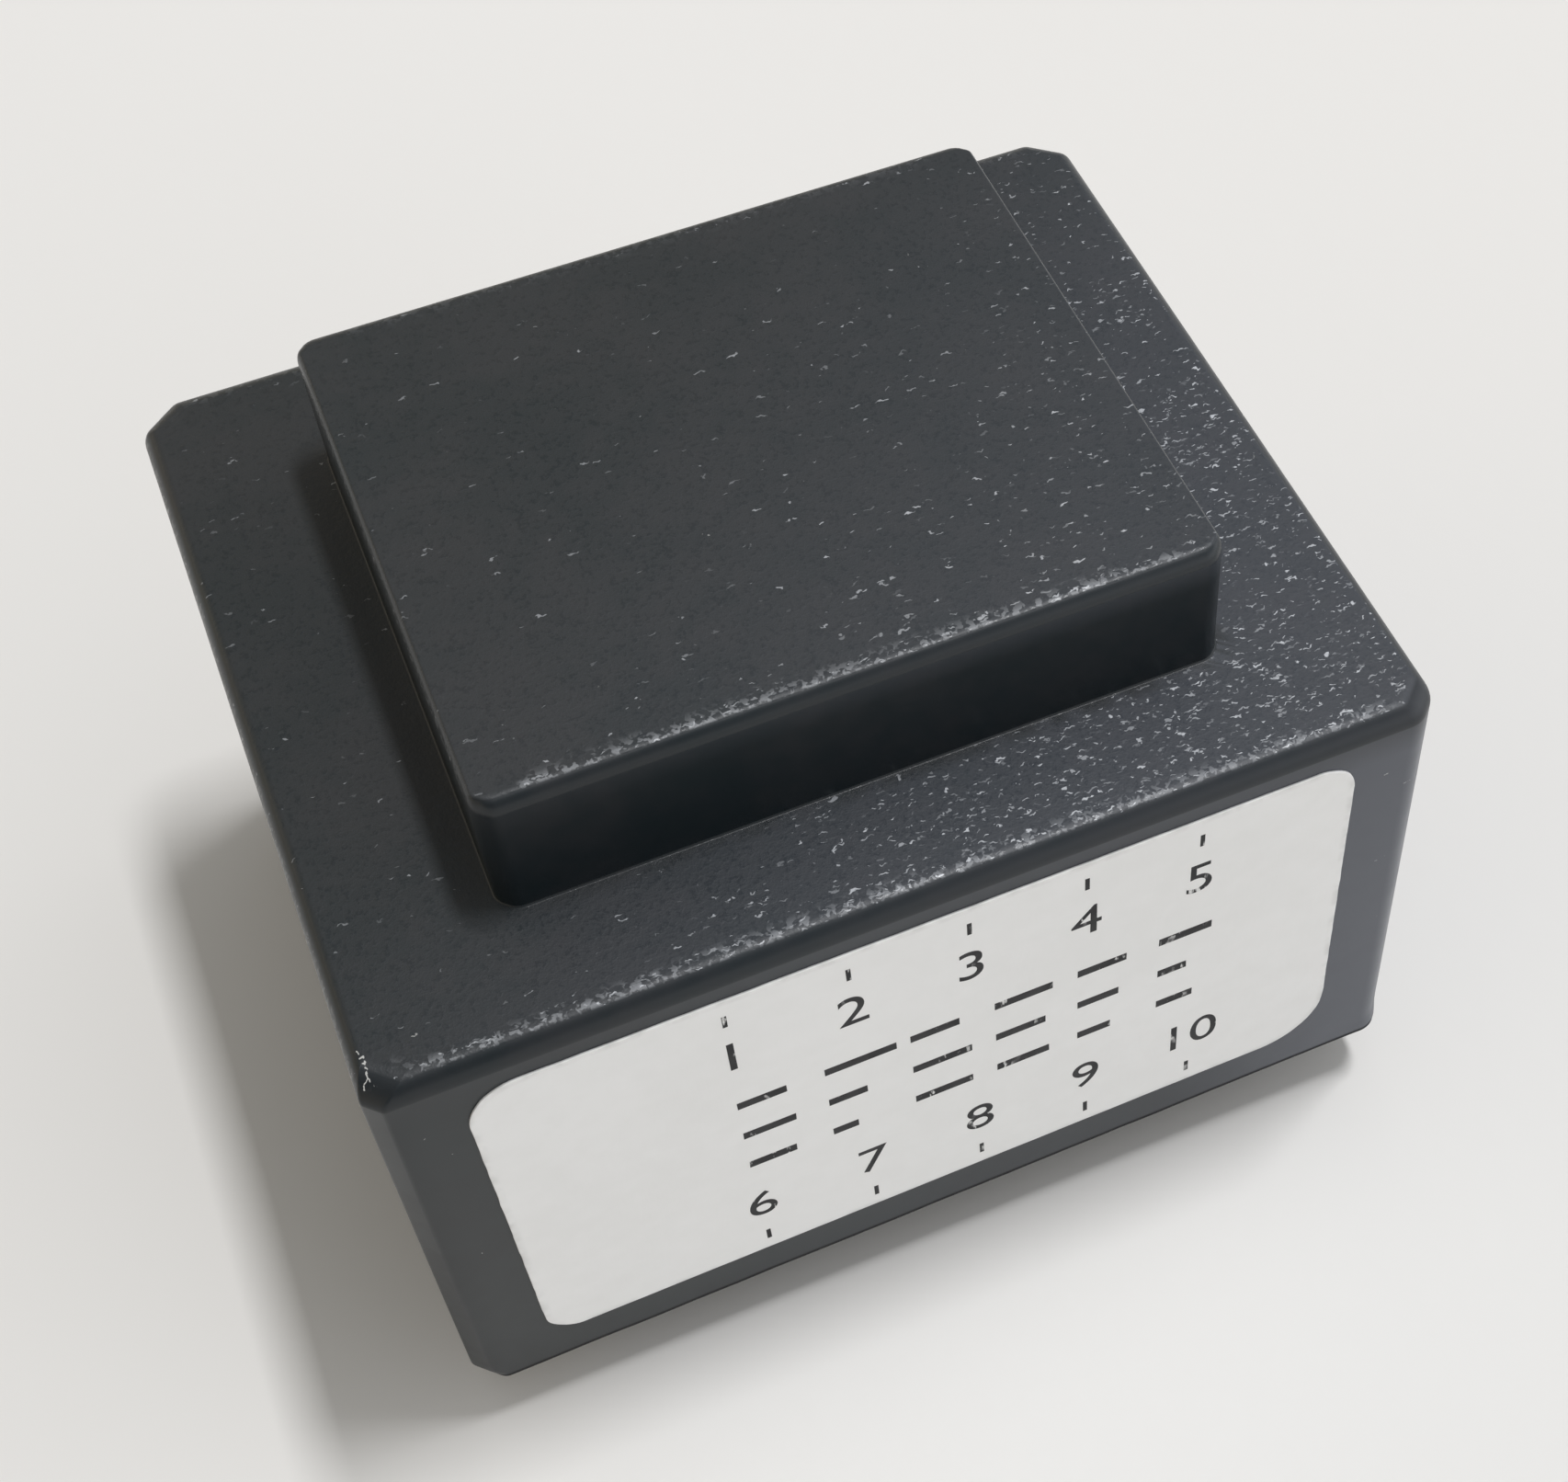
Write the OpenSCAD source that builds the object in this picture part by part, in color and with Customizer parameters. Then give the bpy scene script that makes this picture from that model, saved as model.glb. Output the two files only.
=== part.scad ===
// Potted mains transformer for a circuit board: a moulded housing with a raised dome over the
// coil, filled with resin around a laminated core and a two-chamber bobbin, standing on four pins.
// The origin is the centre of the housing's rim, which is the plane of the circuit board.
// x runs along the long side, the labelled face looks towards -y, and z points up.
// The core takes its size from the housing, the bobbin from the core, and the dome from the bobbin.

/* [Housing] */
// Length of the housing along the labelled face
case_length = 44; // [37:0.5:60]
// Depth of the housing from the labelled face to the back
case_depth = 37.4; // [34:0.1:50]
// Height from the rim to the flat top beside the dome
case_height = 24.9; // [20:0.1:40]
// Thickness of the side walls
side_wall = 0.85; // [0.7:0.05:1.5]
// Thickness of the roof over the core and over the coil
roof = 1; // [0.8:0.05:1.5]
// Radius of the upright corners
corner_r = 1.7; // [1.4:0.1:2.6]
// Radius of the rounded edge round the flat top
top_edge_r = 1.2; // [0.4:0.1:1.3]

/* [Dome over the coil] */
// Rise of the dome above the flat top
dome_rise = 6.5; // [4:0.1:12]
// Clearance inside the dome at each end of the flanges
dome_end_gap = 0.35; // [0.2:0.05:2]
// Clearance inside the dome before and behind the bobbin
dome_side_gap = 1.75; // [0.5:0.05:3]
// Radius of the dome's upright corners
dome_corner_r = 1.4; // [1.3:0.1:2.6]
// Radius of the dome's top edge
dome_edge_r = 1.1; // [0.4:0.1:1.2]

/* [Label] */
// Margin of the labelled face at each end of the label
label_end_margin = 3.6; // [2.8:0.1:10]
// Margin of the labelled face above the label
label_top_margin = 1.55; // [1.5:0.05:8]
// Margin of the labelled face below the label
label_foot_margin = 2.45; // [0.5:0.05:8]
// Thickness of the label
label_thickness = 0.1; // [0.05:0.01:0.2]
// Radius of the label's upper left corner
label_upper_left_r = 2.2; // [0.5:0.1:4]
// Radius of the label's upper right corner
label_upper_right_r = 1.7; // [0.5:0.1:4]
// Radius of the label's lower left corner
label_lower_left_r = 1.1; // [0.5:0.1:4]
// Radius of the label's lower right corner
label_lower_right_r = 3; // [0.5:0.1:4]

/* [Core] */
// Clearance between each end of the core and the housing's wall
core_end_gap = 0.15; // [0.1:0.05:1]
// Clearance between the core and the front and back walls
core_side_gap = 0.35; // [0.2:0.05:2]
// Clearance between the top of the stack of sheets and the roof over it
core_top_gap = 0.7; // [0.3:0.05:2]
// Nominal thickness of one sheet with its insulation
sheet_gauge = 0.5; // [0.35:0.05:1]
// Gap between an E sheet and the I sheet that closes it
butt_gap = 0.05; // [0.02:0.01:0.1]

/* [Bobbin] */
// Clearance between the centre leg and the bobbin's tube, on each side
tube_clearance = 0.15; // [0.05:0.05:0.3]
// Wall of the bobbin's tube
tube_wall = 0.8; // [0.5:0.05:1]
// Clearance between the bobbin and the core's window at each end
window_clearance = 0.2; // [0.1:0.05:0.4]
// Thickness of the three flanges
flange_thickness = 0.9; // [0.6:0.05:1.2]
// Clearance between the flanges and the roof of the dome
flange_top_gap = 0.4; // [0.2:0.05:1]
// Height of the flanges' lower ends above the rim
flange_foot = 1.6; // [1.1:0.1:2.2]
// Clearance between the flanges and the core's outer legs
flange_clearance = 0.2; // [0.1:0.05:0.6]
// Radius of the flanges' corners
flange_corner_r = 1.5; // [0.5:0.1:2.5]
// Distance that the flanges stand out past the taped coils
flange_over = 0.9; // [0.3:0.05:1.5]
// Height of the underside of each pin strip above the rim
strip_bottom = 2.8; // [2.7:0.05:3.2]
// Clearance between the strips and the core above them
strip_clearance = 0.2; // [0.1:0.05:0.5]
// Depth of strip outside each row of pins
strip_edge = 1.65; // [1:0.05:2]

/* [Windings] */
// Radius of the windings' outer corners
winding_corner_r = 4; // [2:0.1:4.5]
// Thickness of the wrapped tape
tape_thickness = 0.25; // [0.1:0.05:0.3]
// Radius of the primary's lead wires
primary_lead_r = 0.2; // [0.12:0.01:0.22]
// Radius of the secondary's lead wires
secondary_lead_r = 0.25; // [0.15:0.01:0.28]

/* [Pins] */
// Distance from the housing's outer face to the nearer row of pins
row_inset = 4.95; // [4.5:0.05:5.5]
// Pitch of the pin places along a row
pin_pitch = 5; // [3.5:0.1:6]
// Diameter of the round part of a pin
pin_d = 0.8; // [0.6:0.05:0.9]
// Width of the square shank that is pressed into the strip
shank_width = 0.9; // [0.85:0.05:0.95]
// Length of pin below the rim
pin_reach = 3.5; // [2.5:0.1:6]
// Depth of the strip's floor left above a pin
pin_cap = 1; // [0.5:0.1:2]
// Length of the taper at a pin's tip
tip_taper = 0.3; // [0.1:0.05:0.5]
// Places from the middle of its row to each primary pin
primary_place = 2; // [1:1:2]
// Places from the middle of its row to each secondary pin
secondary_place = 1; // [1:1:2]
// Radius of the solder round a wrapped lead
solder_r = 1.35; // [1.25:0.05:1.5]
// Depth of the solder along the pin
solder_depth = 1.2; // [1:0.05:1.3]

/* [Resin] */
// Depth of the resin's surface inside the rim
resin_recess = 0.6; // [0.3:0.05:1]

/* [Hidden] */
$fn = 48;

// housing
total_height = case_height + dome_rise;
cavity_length = case_length - 2 * side_wall;
cavity_depth = case_depth - 2 * side_wall;
cavity_corner_r = 0.6;
cut = 1;

// core: a sheet is as long as six outer legs are wide, and its centre leg is as wide as two
leg_count = 6;
core_length = cavity_length - 2 * core_end_gap;
core_depth = cavity_depth - 2 * core_side_gap;
leg_width = core_length / leg_count;
centre_leg = 2 * leg_width;
window_depth = core_depth - 2 * leg_width;
stack_top = case_height - roof - core_top_gap;

// bobbin: the flanges reach from the foot of the resin to the roof of the dome
flange_top = total_height - roof - flange_top_gap;
coil_mid = (flange_top + flange_foot) / 2;
flange_reach = (flange_top - flange_foot) / 2;
stack_height = 2 * (stack_top - coil_mid);
stack_bottom = stack_top - stack_height;
sheet_count = 2 * floor(stack_height / (2 * sheet_gauge)) + 1;
sheet_thickness = stack_height / sheet_count;
bore_x = centre_leg / 2 + tube_clearance;
bore_z = stack_height / 2 + tube_clearance;
tube_x = bore_x + tube_wall;
tube_z = bore_z + tube_wall;
bobbin_end = window_depth / 2 - window_clearance;
flange_x = centre_leg / 2 + leg_width - flange_clearance;
chamber = bobbin_end - 1.5 * flange_thickness;
chamber_mid = (flange_thickness + chamber) / 2;
coil_x = flange_x - flange_over;
coil_z = flange_reach - flange_over;
winding_x = coil_x - tape_thickness;
winding_z = coil_z - tape_thickness;

// dome and label
dome_length = 2 * (flange_x + dome_end_gap + side_wall);
dome_depth = 2 * (bobbin_end + dome_side_gap + side_wall);
label_length = case_length - 2 * label_end_margin;
label_height = case_height - label_top_margin - label_foot_margin;
label_mid = label_foot_margin + label_height / 2;

// pins, strips, leads and solder
pin_places = 5;
row_y = case_depth / 2 - row_inset;
primary_x = primary_place * pin_pitch;
secondary_x = secondary_place * pin_pitch;
strip_top = stack_bottom - strip_clearance;
strip_depth = row_y + strip_edge - bobbin_end;
shank_top = strip_top - pin_cap;
groove_width = 1.1;
groove_depth = 0.8;
groove_top = strip_bottom + groove_depth;
solder_gap = 0.2;
wrap_z = strip_bottom - solder_gap - solder_depth / 2;
lead_z = strip_bottom + groove_depth / 2;
wrap_play = 0.04;

// a rectangle with rounded corners, centred
module rounded_rectangle(length, depth, r) {
    square([length, depth - 2 * r], center = true);
    square([length - 2 * r, depth], center = true);
    for (x = [-1, 1], y = [-1, 1])
        translate([x * (length / 2 - r), y * (depth / 2 - r)]) circle(r);
}

// a flat-bottomed outline standing on the x axis, with its two upper corners rounded
module arched_outline(width, height, r) {
    translate([-width / 2, 0]) square([width, height - r]);
    translate([-width / 2 + r, 0]) square([width - 2 * r, height]);
    for (x = [-1, 1])
        translate([x * (width / 2 - r), height - r]) circle(r);
}

// a block with rounded upright corners and a rounded top edge
module rounded_block(length, depth, height, corner, edge) {
    for (x = [-1, 1], y = [-1, 1])
        translate([x * (length / 2 - corner), y * (depth / 2 - corner), 0])
            rotate_extrude()
                intersection() {
                    arched_outline(2 * corner, height, edge);
                    square([corner, height]);
                }
    translate([-(length / 2 - corner), 0, 0])
        rotate([90, 0, 90])
            linear_extrude(length - 2 * corner) arched_outline(depth, height, edge);
    translate([0, depth / 2 - corner, 0])
        rotate([90, 0, 0])
            linear_extrude(depth - 2 * corner) arched_outline(length, height, edge);
}

// the hollow of the housing, from below the rim up to the two roofs
module cavity(bottom) {
    translate([0, 0, bottom])
        linear_extrude(case_height - roof - bottom)
            rounded_rectangle(cavity_length, cavity_depth, cavity_corner_r);
    translate([0, 0, bottom])
        linear_extrude(total_height - roof - bottom)
            rounded_rectangle(dome_length - 2 * side_wall, dome_depth - 2 * side_wall, cavity_corner_r);
}

module housing() {
    color("dimgray")
        difference() {
            union() {
                rounded_block(case_length, case_depth, case_height, corner_r, top_edge_r);
                rounded_block(dome_length, dome_depth, total_height, dome_corner_r, dome_edge_r);
            }
            cavity(-cut);
        }
}

// the label's outline, with a radius of its own at each corner
module label_outline() {
    right = label_length / 2;
    top = label_height / 2;
    corners = [
        [-1, 1, label_upper_left_r], [1, 1, label_upper_right_r],
        [1, -1, label_lower_right_r], [-1, -1, label_lower_left_r],
    ];
    difference() {
        square([label_length, label_height], center = true);
        for (c = corners)
            translate([c[0] * right, c[1] * top]) square(2 * c[2], center = true);
    }
    for (c = corners)
        translate([c[0] * (right - c[2]), c[1] * (top - c[2])]) circle(c[2]);
}

module label() {
    color("gainsboro")
        translate([0, -case_depth / 2, label_mid])
            rotate([90, 0, 0])
                linear_extrude(label_thickness) label_outline();
}

// one E sheet with its back towards -y
module e_outline() {
    half = core_length / 2;
    back = -core_depth / 2;
    tips = window_depth / 2;
    polygon([
        [-half, back], [half, back], [half, tips], [half - leg_width, tips],
        [half - leg_width, back + leg_width], [centre_leg / 2, back + leg_width], [centre_leg / 2, tips],
        [-centre_leg / 2, tips], [-centre_leg / 2, back + leg_width],
        [-half + leg_width, back + leg_width], [-half + leg_width, tips], [-half, tips],
    ]);
}

// one I sheet, closing the E sheet on its +y side
module i_outline() {
    translate([-core_length / 2, window_depth / 2 + butt_gap])
        square([core_length, leg_width - butt_gap]);
}

// every other sheet of the stack; the E sheets of the two sets point opposite ways
module core_sheets(first, way) {
    for (layer = [first : 2 : sheet_count - 1])
        translate([0, 0, stack_bottom + layer * sheet_thickness])
            linear_extrude(sheet_thickness)
                mirror([0, way, 0]) {
                    e_outline();
                    i_outline();
                }
}

module core_sheets_odd() {
    color("slategray") core_sheets(0, 0);
}

module core_sheets_even() {
    color("lightslategray") core_sheets(1, 1);
}

// the space that the whole core takes, with its two windows
module core_space() {
    translate([0, 0, stack_bottom])
        linear_extrude(stack_height)
            difference() {
                square([core_length, core_depth], center = true);
                for (x = [-1, 1])
                    translate([x * (centre_leg + leg_width) / 2, 0])
                        square([leg_width, window_depth], center = true);
            }
}

// a bar along y with the given half sizes, about the coil's axis
module coil_bar(half_x, half_z, length, r) {
    translate([0, length / 2, coil_mid])
        rotate([90, 0, 0])
            linear_extrude(length) rounded_rectangle(2 * half_x, 2 * half_z, r);
}

// the inside of the bobbin's tube
module bore(length) {
    translate([-bore_x, -length / 2, coil_mid - bore_z])
        cube([2 * bore_x, length, 2 * bore_z]);
}

// the pin places of one row
module at_pin_places(side) {
    for (place = [0 : pin_places - 1])
        translate([(place - (pin_places - 1) / 2) * pin_pitch, side * row_y, 0]) children();
}

module pin_strip(side) {
    difference() {
        translate([-flange_x, side > 0 ? bobbin_end : -bobbin_end - strip_depth, strip_bottom])
            cube([2 * flange_x, strip_depth, strip_top - strip_bottom]);
        at_pin_places(side)
            translate([-shank_width / 2, -shank_width / 2, strip_bottom - cut])
                cube([shank_width, shank_width, shank_top - strip_bottom + cut]);
    }
}

// the grooves that take the leads through an end flange and along its strip to the pins
module lead_grooves(side) {
    run = row_y - bobbin_end + flange_thickness;
    at_pin_places(side)
        translate([-groove_width / 2, side > 0 ? -run : 0, coil_mid - flange_reach - cut])
            cube([groove_width, run, groove_top - coil_mid + flange_reach + cut]);
}

module bobbin() {
    color("ivory")
        difference() {
            union() {
                coil_bar(tube_x, tube_z, 2 * bobbin_end, tube_wall);
                for (y = [-1, 0, 1])
                    translate([0, y * (bobbin_end - flange_thickness / 2), 0])
                        coil_bar(flange_x, flange_reach, flange_thickness, flange_corner_r);
                pin_strip(1);
                pin_strip(-1);
            }
            bore(2 * bobbin_end + cut);
            lead_grooves(1);
            lead_grooves(-1);
        }
}

// a sleeve round the tube between two outlines, filling one chamber
module coil_sleeve(side, inner_x, inner_z, inner_r, outer_x, outer_z, outer_r) {
    translate([0, side * chamber_mid, 0])
        difference() {
            coil_bar(outer_x, outer_z, chamber, outer_r);
            coil_bar(inner_x, inner_z, chamber + cut, inner_r);
        }
}

module winding(side) {
    coil_sleeve(side, tube_x, tube_z, tube_wall, winding_x, winding_z, winding_corner_r);
}

module tape(side) {
    outer_r = winding_corner_r + tape_thickness;
    coil_sleeve(side, winding_x, winding_z, winding_corner_r, coil_x, coil_z, outer_r);
}

module primary_winding() {
    color("sienna") winding(1);
}

module secondary_winding() {
    color("peru") winding(-1);
}

module primary_tape() {
    color("gold") tape(1);
}

module secondary_tape() {
    color("khaki") tape(-1);
}

// a pin: a square shank in the resin and the strip, and a round tapered end below
module pin(x, side) {
    translate([x, side * row_y, 0]) {
        translate([-shank_width / 2, -shank_width / 2, resin_recess])
            cube([shank_width, shank_width, shank_top - resin_recess]);
        translate([0, 0, -pin_reach + tip_taper])
            cylinder(d = pin_d, h = pin_reach - tip_taper + resin_recess);
        translate([0, 0, -pin_reach])
            cylinder(d1 = pin_d - tip_taper, d2 = pin_d, h = tip_taper);
    }
}

// a lead from its winding along the groove, down beside its pin and once round it
module lead(x, side, r) {
    loop_r = shank_width / sqrt(2) + wrap_play + (r + wrap_play);
    start = bobbin_end - flange_thickness;
    drop_y = row_y - loop_r;
    translate([x, side * start, lead_z])
        rotate([-90 * side, 0, 0])
            cylinder(r = r, h = drop_y - start);
    translate([x, side * drop_y, lead_z]) sphere(r);
    translate([x, side * drop_y, wrap_z]) cylinder(r = r, h = lead_z - wrap_z);
    translate([x, side * row_y, wrap_z])
        rotate_extrude() translate([loop_r, 0]) circle(r + wrap_play);
}

// the solder that joins a wrapped lead to its pin
module solder(x, side, r) {
    difference() {
        translate([x, side * row_y, wrap_z - solder_depth / 2])
            cylinder(r = solder_r, h = solder_depth);
        pin(x, side);
        lead(x, side, r);
    }
}

module primary_start_lead() {
    color("firebrick") lead(-primary_x, 1, primary_lead_r);
}

module primary_finish_lead() {
    color("firebrick") lead(primary_x, 1, primary_lead_r);
}

module secondary_start_lead() {
    color("darkorange") lead(-secondary_x, -1, secondary_lead_r);
}

module secondary_finish_lead() {
    color("darkorange") lead(secondary_x, -1, secondary_lead_r);
}

module primary_start_pin() {
    color("silver") pin(-primary_x, 1);
}

module primary_finish_pin() {
    color("silver") pin(primary_x, 1);
}

module secondary_start_pin() {
    color("silver") pin(-secondary_x, -1);
}

module secondary_finish_pin() {
    color("silver") pin(secondary_x, -1);
}

module primary_start_solder() {
    color("lightgray") solder(-primary_x, 1, primary_lead_r);
}

module primary_finish_solder() {
    color("lightgray") solder(primary_x, 1, primary_lead_r);
}

module secondary_start_solder() {
    color("lightgray") solder(-secondary_x, -1, secondary_lead_r);
}

module secondary_finish_solder() {
    color("lightgray") solder(secondary_x, -1, secondary_lead_r);
}

// the space that one terminal takes: its pin, its lead and its solder
module terminal_space(x, side, r) {
    pin(x, side);
    lead(x, side, r);
    translate([x, side * row_y, wrap_z - solder_depth / 2])
        cylinder(r = solder_r, h = solder_depth);
}

// the resin fills whatever the other pieces leave of the housing's hollow
module potting_resin() {
    color("darkslategray")
        difference() {
            cavity(resin_recess);
            core_space();
            bore(core_depth);
            bobbin();
            for (side = [-1, 1]) {
                winding(side);
                tape(side);
            }
            for (x = [-primary_x, primary_x])
                terminal_space(x, 1, primary_lead_r);
            for (x = [-secondary_x, secondary_x])
                terminal_space(x, -1, secondary_lead_r);
        }
}

housing();
label();
potting_resin();
bobbin();
core_sheets_odd();
core_sheets_even();
primary_winding();
secondary_winding();
primary_tape();
secondary_tape();
primary_start_lead();
primary_finish_lead();
secondary_start_lead();
secondary_finish_lead();
primary_start_pin();
primary_finish_pin();
secondary_start_pin();
secondary_finish_pin();
primary_start_solder();
primary_finish_solder();
secondary_start_solder();
secondary_finish_solder();
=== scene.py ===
"""Dresses a potted circuit-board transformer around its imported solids.

The housing, the label, the resin and the pins get meshes of their own, the pieces inside keep theirs, and a
floor, a lamp, a room and a camera are set round them. Sizes are in millimetres unless a name says otherwise.
"""

import logging
import math
from dataclasses import dataclass, field
from enum import Enum
from typing import Callable, Sequence

import bmesh
import bpy
from mathutils import Matrix, Vector, geometry, noise


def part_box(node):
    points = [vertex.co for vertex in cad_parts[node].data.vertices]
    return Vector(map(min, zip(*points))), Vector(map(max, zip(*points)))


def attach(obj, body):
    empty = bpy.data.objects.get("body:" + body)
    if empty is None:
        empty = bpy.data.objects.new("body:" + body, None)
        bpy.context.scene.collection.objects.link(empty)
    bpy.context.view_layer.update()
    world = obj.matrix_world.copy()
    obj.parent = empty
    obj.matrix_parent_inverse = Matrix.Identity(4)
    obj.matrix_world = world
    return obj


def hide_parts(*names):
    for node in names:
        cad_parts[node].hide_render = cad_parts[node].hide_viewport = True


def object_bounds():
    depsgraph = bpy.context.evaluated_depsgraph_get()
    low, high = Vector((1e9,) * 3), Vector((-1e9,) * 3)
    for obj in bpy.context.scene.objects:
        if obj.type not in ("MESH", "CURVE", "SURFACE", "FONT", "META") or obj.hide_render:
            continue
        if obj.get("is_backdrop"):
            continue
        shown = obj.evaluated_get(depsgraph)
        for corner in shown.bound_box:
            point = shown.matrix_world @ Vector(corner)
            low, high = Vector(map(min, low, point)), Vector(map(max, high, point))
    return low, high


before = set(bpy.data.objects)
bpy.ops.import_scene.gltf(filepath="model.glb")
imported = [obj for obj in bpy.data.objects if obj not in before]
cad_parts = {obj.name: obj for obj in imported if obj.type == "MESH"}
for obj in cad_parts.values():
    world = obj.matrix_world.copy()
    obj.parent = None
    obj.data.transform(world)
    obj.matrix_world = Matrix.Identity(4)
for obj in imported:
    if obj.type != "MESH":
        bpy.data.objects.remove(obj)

MM = 0.001
BODY = "root"
log = logging.getLogger("transformer")

Point = tuple[float, float, float]
Ring = list[Point]
Colour = tuple[float, float, float]
Node = bpy.types.Node
Socket = bpy.types.NodeSocket
Tree = bpy.types.NodeTree
Material = bpy.types.Material
Mesh = bpy.types.Mesh
Piece = bpy.types.Object


# ---------------------------------------------------------------- wiring of node trees


class Wiring:
    """A short hand for filling one node tree."""

    def __init__(self, tree: Tree) -> None:
        """Keeps the tree that the nodes go into."""
        self.tree = tree

    def feed(self, socket: Socket, value: object) -> None:
        """Links a socket, or sets a plain value on it."""
        if isinstance(value, Socket):
            self.tree.links.new(value, socket)
        else:
            socket.default_value = value

    def add(self, kind: str, feeds: dict | None = None, **settings: object) -> Node:
        """Adds one node.

        Args:
            kind: the node's type name.
            feeds: values or output sockets, by input name or number.
            settings: the node's own properties.

        Returns:
            The new node.
        """
        made = self.tree.nodes.new(kind)
        for name, value in settings.items():
            setattr(made, name, value)
        for key, value in (feeds or {}).items():
            self.feed(made.inputs[key], value)
        return made

    def math(self, operation: str, *values: object, clamp: bool = False) -> Socket:
        """Adds a Math node and returns its result."""
        feeds = dict(enumerate(values))
        return self.add("ShaderNodeMath", feeds, operation=operation, use_clamp=clamp).outputs[0]

    def times(self, first: object, second: object, clamp: bool = False) -> Socket:
        """The product of two values."""
        return self.math("MULTIPLY", first, second, clamp=clamp)

    def plus(self, first: object, second: object, clamp: bool = False) -> Socket:
        """The sum of two values."""
        return self.math("ADD", first, second, clamp=clamp)

    def minus(self, first: object, second: object) -> Socket:
        """The difference of two values."""
        return self.math("SUBTRACT", first, second)

    def over(self, first: object, second: object, clamp: bool = False) -> Socket:
        """One value divided by another."""
        return self.math("DIVIDE", first, second, clamp=clamp)

    def most(self, first: object, second: object) -> Socket:
        """The larger of two values."""
        return self.math("MAXIMUM", first, second)

    def vector(self, operation: str, *values: object) -> Node:
        """Adds a Vector Math node."""
        return self.add("ShaderNodeVectorMath", dict(enumerate(values)), operation=operation)

    def span(
        self, value: object, low: object, high: object, first: object = 0.0, last: object = 1.0
    ) -> Socket:
        """Maps a value smoothly onto another span.

        Args:
            value: the value to map.
            low: where its own span starts.
            high: where its own span ends.
            first: the result at low and below it.
            last: the result at high and above it.

        Returns:
            The mapped value.
        """
        feeds = {"Value": value, "From Min": low, "From Max": high, "To Min": first, "To Max": last}
        return self.add("ShaderNodeMapRange", feeds, interpolation_type="SMOOTHSTEP").outputs["Result"]

    def tint(self, factor: object, first: object, second: object) -> Socket:
        """Mixes two colours.

        Args:
            factor: the second colour's share, from 0 to 1.
            first: a colour or a colour socket.
            second: another one.

        Returns:
            The mixed colour.
        """
        colours = [
            value if isinstance(value, Socket) else (*value, 1.0) for value in (first, second)]
        mix = self.add("ShaderNodeMix", {0: factor, 6: colours[0], 7: colours[1]}, data_type="RGBA")
        return mix.outputs[2]

    def noise(self, vector: object, scale: object, detail: float = 2.0, rough: float = 0.5) -> Socket:
        """Adds a Noise Texture and returns its value."""
        feeds = {"Vector": vector, "Scale": scale, "Detail": detail, "Roughness": rough}
        return self.add("ShaderNodeTexNoise", feeds).outputs[0]

    def stretch(self, vector: object, scale: Point, turn: Point = (0.0, 0.0, 0.0)) -> Socket:
        """Turns and stretches coordinates with a Mapping node."""
        feeds = {"Vector": vector, "Scale": scale, "Rotation": turn}
        return self.add("ShaderNodeMapping", feeds).outputs[0]

    def group(self, tree: Tree, feeds: dict) -> Node:
        """Places a shader node group with its own values."""
        made = self.add("ShaderNodeGroup", node_tree=tree)
        for key, value in feeds.items():
            self.feed(made.inputs[key], value)
        return made


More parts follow.
